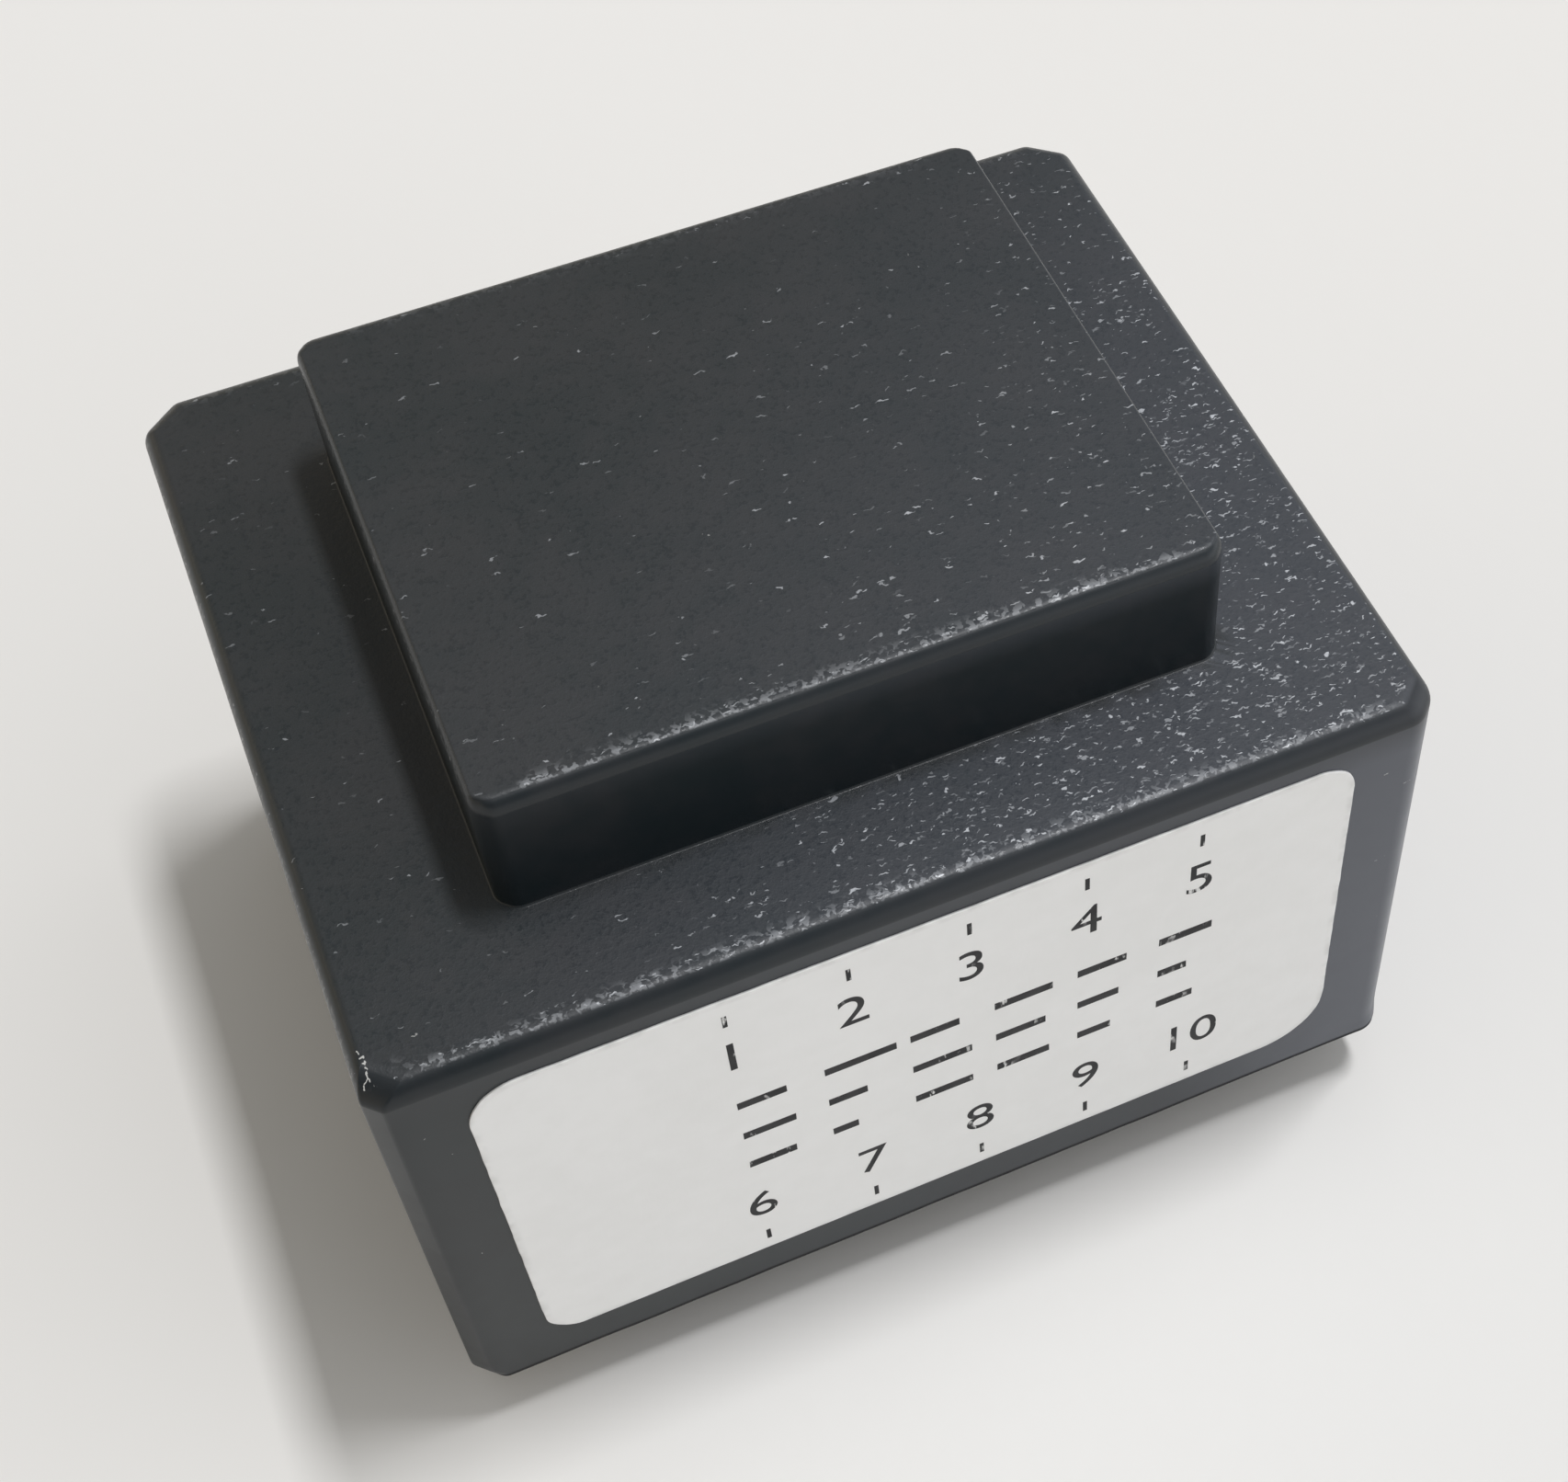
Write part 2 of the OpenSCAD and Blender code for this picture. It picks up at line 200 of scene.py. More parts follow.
class Effects:
    """Shader node groups that more than one finish uses, each built once."""

    def __init__(self) -> None:
        """Builds every group."""
        self.mottle = self._mottle()
        self.pebbles = self._pebbles()
        self.specks = self._specks()
        self.scratch = self._scratch()

    @staticmethod
    def _open(
        name: str, inputs: dict[str, str], outputs: Sequence[str]
    ) -> tuple[Wiring, Node, Node]:
        """Starts a group.

        Args:
            name: the group's name.
            inputs: its input sockets, by name, each with its socket type.
            outputs: the names of its float outputs.

        Returns:
            The wiring, the group's input node and its output node.
        """
        tree = bpy.data.node_groups.new(name, "ShaderNodeTree")
        for label, kind in inputs.items():
            tree.interface.new_socket(name=label, in_out="INPUT", socket_type=kind)
        for label in outputs:
            tree.interface.new_socket(name=label, in_out="OUTPUT", socket_type="NodeSocketFloat")
        wiring = Wiring(tree)
        return wiring, wiring.add("NodeGroupInput"), wiring.add("NodeGroupOutput")

    def _mottle(self) -> Tree:
        """Broad uneven tone with finer clouds in it, from 0 to 1."""
        wiring, given, result = self._open(
            "uneven_tone", {"Vector": "NodeSocketVector", "Scale": "NodeSocketFloat"}, ["Tone"])
        broad = wiring.noise(given.outputs["Vector"], given.outputs["Scale"], 3.0, 0.55)
        fine_scale = wiring.times(given.outputs["Scale"], 7.0)
        fine = wiring.noise(given.outputs["Vector"], fine_scale, 2.0, 0.6)
        both = wiring.plus(wiring.times(broad, 0.65), wiring.times(fine, 0.35))
        wiring.feed(result.inputs["Tone"], wiring.span(both, 0.32, 0.68))
        return wiring.tree

    def _pebbles(self) -> Tree:
        """The fine rough texture that spark erosion leaves in a mould."""
        wiring, given, result = self._open("spark_eroded_texture", {
            "Vector": "NodeSocketVector", "Scale": "NodeSocketFloat"}, ["Height", "Peak"])
        height = wiring.noise(given.outputs["Vector"], given.outputs["Scale"], 2.0, 0.62)
        wiring.feed(result.inputs["Height"], height)
        wiring.feed(result.inputs["Peak"], wiring.span(height, 0.52, 0.66))
        return wiring.tree

    def _specks(self) -> Tree:
        """Scattered small marks: a share of random cells holds one each."""
        wiring, given, result = self._open("scattered_specks", {
            "Vector": "NodeSocketVector", "Scale": "NodeSocketFloat", "Share": "NodeSocketFloat",
            "Size": "NodeSocketFloat"}, ["Mask"])
        cells = wiring.add("ShaderNodeTexVoronoi", {
            "Vector": given.outputs["Vector"], "Scale": given.outputs["Scale"],
            "Randomness": 1.0}, feature="F1")
        draw = wiring.add("ShaderNodeSeparateColor", {0: cells.outputs["Color"]})
        chosen = wiring.math("LESS_THAN", draw.outputs[0], given.outputs["Share"])
        spread = wiring.span(draw.outputs[1], 0.0, 1.0, 0.5, 1.0)
        own_size = wiring.times(given.outputs["Size"], spread)
        heart = wiring.times(own_size, 0.6)
        inside = wiring.span(cells.outputs["Distance"], heart, own_size, 1.0, 0.0)
        bright = wiring.times(inside, wiring.math("POWER", draw.outputs[2], 1.5))
        wiring.feed(result.inputs["Mask"], wiring.times(chosen, bright, clamp=True))
        return wiring.tree

    def _scratch(self) -> Tree:
        """One straight scratch from a start along a run."""
        wiring, given, result = self._open("single_scratch", {
            "Vector": "NodeSocketVector", "Start": "NodeSocketVector", "Run": "NodeSocketVector",
            "Width": "NodeSocketFloat"}, ["Mask"])
        away = wiring.vector("SUBTRACT", given.outputs["Vector"], given.outputs["Start"]).outputs[0]
        run = given.outputs["Run"]
        dot = wiring.vector("DOT_PRODUCT", away, run).outputs["Value"]
        own = wiring.vector("DOT_PRODUCT", run, run).outputs["Value"]
        part = wiring.over(dot, own, clamp=True)
        nearest = wiring.vector("SCALE", run)
        wiring.feed(nearest.inputs["Scale"], part)
        offset = wiring.vector("SUBTRACT", away, nearest.outputs[0]).outputs[0]
        gap = wiring.vector("LENGTH", offset).outputs["Value"]
        half = wiring.times(given.outputs["Width"], 0.5)
        mask = wiring.span(gap, wiring.times(half, 0.5), half, 1.0, 0.0)
        wiring.feed(result.inputs["Mask"], mask)
        return wiring.tree


# ---------------------------------------------------------------- finishes


@dataclass(frozen=True)
class Scratch:
    """A scratch in millimetres: where it starts, how far it runs, and its width."""

    start: Point
    run: Point
    width: float


@dataclass(frozen=True)
class Finish:
    """What every finish has: a name and the group effects it may place."""

    name: str
    effects: Effects

    def _start(self) -> tuple[Material, Wiring, Node, Socket]:
        """Opens the material.

        Returns:
            The material, its wiring, its Principled BSDF and the Object coordinates.
        """
        material = bpy.data.materials.new(self.name)
        material.use_nodes = True
        wiring = Wiring(material.node_tree)
        shader = material.node_tree.nodes["Principled BSDF"]
        place = wiring.add("ShaderNodeTexCoord").outputs["Object"]
        return material, wiring, shader, place

    def _tone(self, wiring: Wiring, place: Socket, scale: float) -> Socket:
        """The uneven tone at a scale, from 0 to 1."""
        feeds = {"Vector": place, "Scale": scale}
        return wiring.group(self.effects.mottle, feeds).outputs["Tone"]

    def _marks(
        self, wiring: Wiring, place: Socket, scale: float, share: object, size: float
    ) -> Socket:
        """Scattered small marks.

        Args:
            wiring: the material's wiring.
            place: the coordinates that they lie in.
            scale: how many cells lie in a metre.
            share: the share of cells that hold a mark.
            size: a mark's reach, as a part of a cell.

        Returns:
            The mask of the marks.
        """
        feeds = {"Vector": place, "Scale": scale, "Share": share, "Size": size}
        return wiring.group(self.effects.specks, feeds).outputs["Mask"]

    @staticmethod
    def _bump(wiring: Wiring, shader: Node, height: object, distance: float) -> None:
        """Feeds the shader's normal from a height, whose full step is a distance in metres."""
        feeds = {"Height": height, "Distance": distance, "Strength": 1.0}
        wiring.feed(shader.inputs["Normal"], wiring.add("ShaderNodeBump", feeds).outputs[0])


@dataclass(frozen=True)
class GlintSet:
    """Painted glints that point one way: their turn, how many cells lie in a metre, and their size."""

    turn: float
    scale: float
    size: float


@dataclass(frozen=True)
class HousingPlastic(Finish):
    """Charcoal glass-filled plastic: rough flats and satin sides, with a painted sheen, painted glints, a
    painted highlight along the edges and painted shade.
    """

    dark: Colour = (0.0060, 0.0110, 0.0135)
    light: Colour = (0.0120, 0.0145, 0.0170)
    rough_dark: Colour = (0.0180, 0.0230, 0.0255)
    rough_light: Colour = (0.0240, 0.0265, 0.0290)
    # a painted sheen: a greyer, lighter tone that stands for the lamp's reflection towards the right front
    haze: Colour = (0.112, 0.122, 0.150)
    # the colour of the painted glints and of the painted highlight along the edges
    rubbed: Colour = (0.52, 0.54, 0.57)
    dust: Colour = (0.62, 0.62, 0.60)
    # painted shade: the dark colour of a painted contact shadow at the foot and of a darkened left front
    # corner
    soot: Colour = (0.004, 0.004, 0.005)
    tone_scale: float = 120.0
    pebble_scale: float = 4600.0
    pebble_depth: float = 0.000016
    ripple_scale: float = 420.0
    ripple_share: float = 0.45
    fray_scale: float = 3600.0
    fray_reach: float = 0.00046
    glint_sets: tuple[GlintSet, ...] = (
        GlintSet(0.35, 1150.0, 0.30), GlintSet(1.45, 1400.0, 0.30), GlintSet(2.45, 1800.0, 0.32))
    glint_stretch: Point = (0.85, 3.9, 1.8)
    fewest_glints: float = 0.05
    faintest_glints: float = 0.5
    patch_scale: float = 330.0
    # a painted sparkle in the painted highlight along the edges
    crust_scale: float = 3200.0
    crust_share: float = 0.30
    lint_scale: float = 800.0
    satin: tuple[float, float] = (0.32, 0.38)
    flat_dulls: float = 0.13
    rubbing_shines: float = 0.16
    specular: float = 0.40
    scratches: tuple[Scratch, ...] = ()

    def _frayed(self, wiring: Wiring, place: Socket) -> Socket:
        """The coordinates with a fine sway in them, which frays the edges of marks."""
        feeds = {"Vector": place, "Scale": self.fray_scale, "Detail": 1.0}
        fray = wiring.add("ShaderNodeTexNoise", feeds).outputs["Color"]
        centred = wiring.vector("SUBTRACT", fray, (0.5, 0.5, 0.5)).outputs[0]
        sway = wiring.vector("SCALE", centred)
        wiring.feed(sway.inputs["Scale"], self.fray_reach)
        return wiring.vector("ADD", place, sway.outputs[0]).outputs[0]

    def _glints(
        self, wiring: Wiring, place: Socket, frayed: Socket, flat: Socket, edge: Socket, haze: Socket
    ) -> Socket:
        """Painted glints, short bright marks on the texture's peaks, and a painted sparkle along the edges.

        Args:
            wiring: the material's wiring.
            place: the Object coordinates.
            frayed: the same with their sway.
            flat: the mask of the rough flats.
            edge: the mask of the painted highlight along the edges.
            haze: the mask of the painted sheen, where the marks are most.

        Returns:
            The mask of the marks.
        """
        patches = wiring.span(wiring.noise(place, self.patch_scale, 2.0, 0.6), 0.40, 0.60, 0.35, 1.0)
        rise = wiring.math("POWER", wiring.times(haze, 4.0), 2.4)
        share = wiring.plus(wiring.times(rise, 0.95), self.fewest_glints)
        share = wiring.times(wiring.times(share, patches), flat)
        # along the edges the painted highlight fills the cells with painted glints
        share = wiring.plus(share, edge)
        found = None
        for kind in self.glint_sets:
            where = wiring.stretch(frayed, self.glint_stretch, (0.2, 0.15, kind.turn))
            marks = self._marks(wiring, where, kind.scale, share, kind.size)
            found = marks if found is None else wiring.most(found, marks)
        brightness = wiring.plus(wiring.times(haze, 2.4), self.faintest_glints)
        found = wiring.times(found, brightness, clamp=True)
        crumbs = wiring.span(wiring.noise(frayed, self.crust_scale, 1.0), 0.50, 0.60)
        edge_sparkle = wiring.times(wiring.times(edge, crumbs), self.crust_share)
        return wiring.plus(found, edge_sparkle, clamp=True)

    def _dust(self, wiring: Wiring, frayed: Socket) -> Socket:
        """The mask of the lint and the scratches."""
        where = wiring.stretch(frayed, (1.8, 1.0, 1.4), (0.1, 0.5, -0.5))
        found = self._marks(wiring, where, self.lint_scale, 0.015, 0.10)
        for scratch in self.scratches:
            mark = wiring.group(self.effects.scratch, {
                "Vector": frayed, "Start": [value * MM for value in scratch.start],
                "Run": [value * MM for value in scratch.run], "Width": scratch.width * MM})
            found = wiring.most(found, mark.outputs["Mask"])
        return wiring.times(found, 0.8)

    def make(self) -> Material:
        """Builds the material, whose masks flat, edge (a painted highlight), painted sheen and painted shade
        are stored on the mesh.

        Returns:
            The material.
        """
        material, wiring, shader, place = self._start()
        flat, edge, haze, grime = (
            wiring.add("ShaderNodeAttribute", attribute_name=mask.value).outputs["Fac"]
            for mask in (Mask.FLAT, Mask.EDGE, Mask.HAZE, Mask.GRIME))
        tone = self._tone(wiring, place, self.tone_scale)
        pebbles = wiring.group(self.effects.pebbles, {"Vector": place, "Scale": self.pebble_scale})
        frayed = self._frayed(wiring, place)
        # painted glints, and the painted highlight along the edges
        glints = self._glints(wiring, place, frayed, flat, edge, haze)
        smooth_tone = wiring.tint(tone, self.dark, self.light)
        rough_tone = wiring.tint(tone, self.rough_dark, self.rough_light)
        # the tone, lightened by the painted sheen towards the right front
        colour = wiring.tint(haze, wiring.tint(flat, smooth_tone, rough_tone), self.haze)
        colour = wiring.tint(glints, colour, self.rubbed)
        colour = wiring.tint(self._dust(wiring, frayed), colour, self.dust)
        # painted shade: a painted contact shadow at the foot and a darkened left front corner
        wiring.feed(shader.inputs["Base Color"], wiring.tint(grime, colour, self.soot))
        # painted glints and the texture's peaks shine, hollows and the painted shade are dull
        peak = wiring.times(pebbles.outputs["Peak"], flat)
        sheen = wiring.plus(wiring.span(tone, 0.0, 1.0, *self.satin), wiring.times(flat, self.flat_dulls))
        gloss = wiring.minus(sheen, wiring.times(wiring.most(peak, glints), self.rubbing_shines))
        wiring.feed(shader.inputs["Roughness"], wiring.plus(gloss, wiring.times(grime, 0.5)))
        shader.inputs["Specular IOR Level"].default_value = self.specular
        # pebbles on the flats, a slow ripple on all faces
        ripple = wiring.noise(place, self.ripple_scale, 1.0, 0.5)
        rough_part = wiring.times(pebbles.outputs["Height"], flat)
        height = wiring.plus(rough_part, wiring.times(ripple, self.ripple_share))
        self._bump(wiring, shader, height, self.pebble_depth)
        return material


@dataclass(frozen=True)
class LabelFilm(Finish):
    """Pale satin label stock with a faint fibre, a few dark crumbs and a slightly soiled rim."""

    face: Colour = (0.855, 0.855, 0.848)
    shade: Colour = (0.825, 0.825, 0.815)
    soil: Colour = (0.36, 0.36, 0.35)
    crumb: Colour = (0.10, 0.10, 0.10)
    relief: float = 0.000030

    def make(self) -> Material:
        """Builds the material, whose mask rim is stored on the mesh."""
        material, wiring, shader, place = self._start()
        rim = wiring.add("ShaderNodeAttribute", attribute_name=Mask.RIM.value).outputs["Fac"]
        tone = self._tone(wiring, place, 120.0)
        colour = wiring.tint(tone, self.face, self.shade)
        patches = wiring.span(wiring.noise(place, 900.0, 2.0, 0.6), 0.35, 0.7)
        soiled = wiring.times(wiring.times(rim, patches, clamp=True), 0.35)
        colour = wiring.tint(soiled, colour, self.soil)
        where = wiring.stretch(place, (1.0, 1.0, 1.6), (0.0, 0.6, 0.0))
        crumbs = self._marks(wiring, where, 420.0, 0.02, 0.06)
        colour = wiring.tint(wiring.times(crumbs, 0.75), colour, self.crumb)
        wiring.feed(shader.inputs["Base Color"], colour)
        wiring.feed(shader.inputs["Roughness"], wiring.span(tone, 0.0, 1.0, 0.42, 0.52))
        fibre = wiring.noise(wiring.stretch(place, (1.0, 1.0, 0.25)), 5200.0, 2.0, 0.6)
        wave = wiring.noise(place, 160.0, 1.0, 0.5)
        height = wiring.plus(wiring.times(fibre, 0.12), wave)
        self._bump(wiring, shader, height, self.relief)
        return material


@dataclass(frozen=True)
class PrintInk(Finish):
    """Black thermal-transfer ink that has dropped out in places."""

    ink: Colour = (0.008, 0.008, 0.010)
    bare: Colour = (0.72, 0.72, 0.71)

    def make(self) -> Material:
        """Builds the material."""
        material, wiring, shader, place = self._start()
        streaks = wiring.noise(wiring.stretch(place, (1.0, 1.0, 0.35)), 3600.0, 2.0, 0.6)
        patches = wiring.noise(place, 700.0, 2.0, 0.5)
        lost = wiring.times(wiring.span(streaks, 0.56, 0.66), wiring.span(patches, 0.50, 0.62))
        wiring.feed(shader.inputs["Base Color"], wiring.tint(lost, self.ink, self.bare))
        wiring.feed(shader.inputs["Roughness"], wiring.span(patches, 0.3, 0.7, 0.42, 0.56))
        shader.inputs["Specular IOR Level"].default_value = 0.3
        self._bump(wiring, shader, streaks, 0.000004)
        return material


@dataclass(frozen=True)
class CastResin(Finish):
    """Dark poured resin: glossy, with a faint dust skin and slow ripples."""

    deep: Colour = (0.012, 0.013, 0.015)
    bloom: Colour = (0.034, 0.035, 0.036)
    dust: Colour = (0.35, 0.34, 0.32)

    def make(self) -> Material:
        """Builds the material."""
        material, wiring, shader, place = self._start()
        tone = self._tone(wiring, place, 140.0)
        specks = self._marks(wiring, place, 900.0, 0.05, 0.12)
        colour = wiring.tint(tone, self.deep, self.bloom)
        colour = wiring.tint(wiring.times(specks, 0.5), colour, self.dust)
        wiring.feed(shader.inputs["Base Color"], colour)
        wiring.feed(shader.inputs["Roughness"], wiring.span(tone, 0.0, 1.0, 0.14, 0.34))
        ripple = wiring.noise(place, 260.0, 2.0, 0.5)
        grain = wiring.noise(place, 3800.0, 2.0, 0.6)
        height = wiring.plus(ripple, wiring.times(grain, 0.06))
        self._bump(wiring, shader, height, 0.00006)
        return material


@dataclass(frozen=True)
class BobbinPlastic(Finish):
    """Ivory glass-filled nylon, slightly mottled."""

    pale: Colour = (0.70, 0.66, 0.55)
    deep: Colour = (0.62, 0.57, 0.45)

    def make(self) -> Material:
        """Builds the material."""
        material, wiring, shader, place = self._start()
        tone = self._tone(wiring, place, 110.0)
        wiring.feed(shader.inputs["Base Color"], wiring.tint(tone, self.pale, self.deep))
        wiring.feed(shader.inputs["Roughness"], wiring.span(tone, 0.0, 1.0, 0.38, 0.5))
        shader.inputs["Subsurface Weight"].default_value = 0.08
        self._bump(wiring, shader, wiring.noise(place, 5200.0, 2.0, 0.6), 0.000006)
        return material


@dataclass(frozen=True)
class SheetSteel(Finish):
    """Electrical steel with a blue-grey oxide skin and a little rust."""

    dark: Colour = (0.20, 0.21, 0.23)
    light: Colour = (0.30, 0.31, 0.33)
    rust: Colour = (0.20, 0.10, 0.05)

    def make(self) -> Material:
        """Builds the material."""
        material, wiring, shader, place = self._start()
        tone = self._tone(wiring, place, 130.0)
        rolled = wiring.noise(wiring.stretch(place, (0.06, 1.0, 1.0)), 5200.0, 3.0, 0.6)
        rusted = wiring.span(wiring.noise(place, 420.0, 3.0, 0.6), 0.60, 0.72)
        colour = wiring.tint(tone, self.dark, self.light)
        colour = wiring.tint(wiring.times(rusted, 0.4), colour, self.rust)
        wiring.feed(shader.inputs["Base Color"], colour)
        shader.inputs["Metallic"].default_value = 0.85
        wiring.feed(shader.inputs["Roughness"], wiring.span(rolled, 0.3, 0.7, 0.32, 0.5))
        self._bump(wiring, shader, rolled, 0.000005)
        return material


@dataclass(frozen=True)
class WoundWire(Finish):
    """Enamelled copper laid turn beside turn round the coil's axis."""

    colour_a: Colour = (0.45, 0.13, 0.035)
    colour_b: Colour = (0.62, 0.23, 0.07)
    pitch: float = 0.25

    def make(self) -> Material:
        """Builds the material, whose turns run round the y axis."""
        material, wiring, shader, place = self._start()
        where = wiring.add("ShaderNodeSeparateXYZ", {0: place})
        wander = wiring.times(wiring.noise(place, 300.0), 0.25)
        turns = wiring.plus(wiring.over(where.outputs["Y"], self.pitch * MM), wander)
        crest = wiring.math("ABSOLUTE", wiring.math("SINE", wiring.times(turns, math.pi)))
        tone = self._tone(wiring, place, 200.0)
        wiring.feed(shader.inputs["Base Color"], wiring.tint(tone, self.colour_a, self.colour_b))
        shader.inputs["Metallic"].default_value = 0.7
        shader.inputs["Coat Weight"].default_value = 0.6
        wiring.feed(shader.inputs["Roughness"], wiring.span(tone, 0.0, 1.0, 0.24, 0.36))
        self._bump(wiring, shader, crest, 0.00008)
        return material


@dataclass(frozen=True)
class WrappedTape(Finish):
    """Polyester tape in overlapping laps, slightly see-through at its laps."""

    pale: Colour = (0.70, 0.55, 0.12)
    deep: Colour = (0.58, 0.42, 0.07)
    lap: float = 4.2

    def make(self) -> Material:
        """Builds the material, whose laps cross the y axis."""
        material, wiring, shader, place = self._start()
        where = wiring.add("ShaderNodeSeparateXYZ", {0: place})
        along = wiring.math("FRACT", wiring.over(where.outputs["Y"], self.lap * MM))
        step = wiring.span(along, 0.86, 0.92)
        wrinkle = wiring.noise(wiring.stretch(place, (1.0, 0.3, 1.0)), 900.0, 3.0, 0.55)
        tone = self._tone(wiring, place, 150.0)
        colour = wiring.tint(tone, self.pale, self.deep)
        colour = wiring.tint(wiring.times(step, 0.5), colour, self.deep)
        wiring.feed(shader.inputs["Base Color"], colour)
        wiring.feed(shader.inputs["Roughness"], wiring.span(wrinkle, 0.3, 0.7, 0.2, 0.34))
        height = wiring.plus(step, wiring.times(wrinkle, 0.6))
        self._bump(wiring, shader, height, 0.00004)
        return material


@dataclass(frozen=True)
class TinnedMetal(Finish):
    """Tin or solder over a base metal: bright, a little cloudy, with draw marks or frosting."""

    bright: Colour = (0.78, 0.78, 0.76)
    cloudy: Colour = (0.60, 0.60, 0.59)
    smooth: float = 0.18
    dull: float = 0.36
    grain: float = 2600.0
    depth: float = 0.000006

    def make(self) -> Material:
        """Builds the material."""
        material, wiring, shader, place = self._start()
        tone = self._tone(wiring, place, 900.0)
        drawn = wiring.noise(wiring.stretch(place, (1.0, 1.0, 0.12)), self.grain, 3.0, 0.6)
        wiring.feed(shader.inputs["Base Color"], wiring.tint(tone, self.bright, self.cloudy))
        shader.inputs["Metallic"].default_value = 1.0
        wiring.feed(shader.inputs["Roughness"], wiring.span(tone, 0.0, 1.0, self.smooth, self.dull))
        self._bump(wiring, shader, drawn, self.depth)
        return material


@dataclass(frozen=True)
class PaleFloor(Finish):
    """A plain pale sheet with the faintest unevenness."""

    warm: Colour = (0.795, 0.785, 0.765)
    cool: Colour = (0.805, 0.798, 0.780)

    def make(self) -> Material:
        """Builds the material."""
        material, wiring, shader, place = self._start()
        tone = wiring.span(wiring.noise(place, 9.0, 1.0), 0.3, 0.7)
        wiring.feed(shader.inputs["Base Color"], wiring.tint(tone, self.warm, self.cool))
        wiring.feed(shader.inputs["Roughness"], wiring.span(tone, 0.0, 1.0, 0.62, 0.7))
        shader.inputs["Specular IOR Level"].default_value = 0.0
        self._bump(wiring, shader, wiring.noise(place, 700.0, 0.0), 0.00001)
        return material


# ---------------------------------------------------------------- mesh helpers


def blend(low: float, high: float, part: float) -> float:
    """The value that lies a part of the way from low to high."""
    return low + (high - low) * part


def ease(low: float, high: float, value: float) -> float:
    """A smooth step from 0 at low to 1 at high."""
    part = min(max((value - low) / (high - low), 0.0), 1.0)
    return part * part * (3.0 - 2.0 * part)


def rounded(radius: float, steps: int) -> list[tuple[float, float]]:
    """How far in and how far down a quarter round lies at each step, from its steep end."""
    slopes = [math.pi / 2 * step / steps for step in range(steps + 1)]
    return [(radius * (1.0 - math.cos(slope)), radius * (1.0 - math.sin(slope))) for slope in slopes]


def straight(start: Sequence[float], end: Sequence[float], steps: int) -> list[tuple[float, ...]]:
    """The evenly spaced points between two others, without these two."""
    return [tuple(blend(a, b, step / steps) for a, b in zip(start, end)) for step in range(1, steps)]


def new_piece(name: str, data: bpy.types.ID) -> Piece:
    """A new piece of the scene that holds a mesh, an outline, a lamp or a camera."""
    piece = bpy.data.objects.new(name, data)
    bpy.context.scene.collection.objects.link(piece)
    return piece


def drift(point: Point, scale: float, seed: float) -> float:
    """Smooth noise from about -1 to 1, at a point in millimetres."""
    return noise.noise(Vector(point) / scale + Vector((seed, -seed, 0.37 * seed)))


class Mask(Enum):
    """The masks that meshes carry for their finishes."""

    FLAT = "flat"
    # the next mask holds a painted highlight along the top edges
    EDGE = "edge"
    # the next mask holds a painted sheen towards the right front
    HAZE = "haze"
    # the next mask holds painted shade at the foot and at the left front corner
    GRIME = "grime"
    RIM = "rim"


@dataclass
class Loft:
    """A closed skin through rings that all have the same number of points, in millimetres."""

    rings: list[Ring] = field(default_factory=list)
    masks: list[dict[Mask, list[float]]] = field(default_factory=list)

    def add(self, ring: Ring, **masks: float | list[float]) -> None:
        """Adds a ring, with the value that each mask has on it: one for all, or one for each point."""
        self.rings.append(ring)
        self.masks.append({Mask[name.upper()]: value if isinstance(value, list) else [value] * len(ring)
                           for name, value in masks.items()})

    def build(
        self, name: str, material: Material, settle: Callable[[Point], Point] | None = None
    ) -> Piece:
        """Skins the rings and closes both ends.

        Args:
            name: the piece's name.
            material: its finish.
            settle: moves each point a little, for shapes that aren't quite true.

        Returns:
            The piece, at the origin.
        """
        mesh = bpy.data.meshes.new(name)
        skin = bmesh.new()
        layers = {mask: skin.verts.layers.float.new(mask.value) for mask in Mask}
        rows = []
        for ring, masks in zip(self.rings, self.masks):
            row = []
            for number, point in enumerate(ring):
                settled = settle(point) if settle else point
                vert = skin.verts.new(Vector(settled) * MM)
                for mask, values in masks.items():
                    vert[layers[mask]] = values[number]
                row.append(vert)
            rows.append(row)
        for low, high in zip(rows, rows[1:]):
            for here in range(len(low)):
                after = (here + 1) % len(low)
                skin.faces.new((low[here], low[after], high[after], high[here]))
        for row in (rows[0], rows[-1]):
            skin.faces.new(row)
        bmesh.ops.remove_doubles(skin, verts=skin.verts, dist=1e-7)
        bmesh.ops.recalc_face_normals(skin, faces=skin.faces)
        for face in skin.faces:
            face.smooth = True
        skin.to_mesh(mesh)
        skin.free()
        mesh.materials.append(material)
        return new_piece(name, mesh)


def mount(piece: Piece, slot: str, *nodes: str) -> Piece:
    """Makes a piece ride the body and stand for CAD nodes.

    Args:
        piece: the finished piece.
        slot: not used.
        nodes: the CAD nodes that it replaces.

    Returns:
        The same piece.
    """
    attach(piece, BODY)
    if nodes:
        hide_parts(*nodes)
    log.info("%s: %d faces", piece.name, len(piece.data.polygons))
    return piece


def join_meshes(name: str, parts: Sequence[tuple[Mesh, Matrix]], material: Material) -> Piece:
    """Joins meshes, each moved by its own matrix, into one piece at the origin.

    Args:
        name: the piece's name.
        parts: meshes and the matrices that place them.
        material: the one finish of the piece.

    Returns:
        The piece.
    """
    whole = bmesh.new()
    for mesh, matrix in parts:
        before = len(whole.verts)
        whole.from_mesh(mesh)
        whole.verts.ensure_lookup_table()
        bmesh.ops.transform(whole, matrix=matrix, verts=whole.verts[before:])
        bpy.data.meshes.remove(mesh)
    bmesh.ops.remove_doubles(whole, verts=whole.verts, dist=1e-8)
    bmesh.ops.recalc_face_normals(whole, faces=whole.faces)
    mesh = bpy.data.meshes.new(name)
    whole.to_mesh(mesh)
    whole.free()
    mesh.materials.clear()
    mesh.materials.append(material)
    return new_piece(name, mesh)


# ---------------------------------------------------------------- housing


@dataclass(frozen=True)
class CornerCut:
    """How an upright corner is cut back: the legs of its flat, and the blend at both of its ends."""

    along: float
    across: float
    blend: float


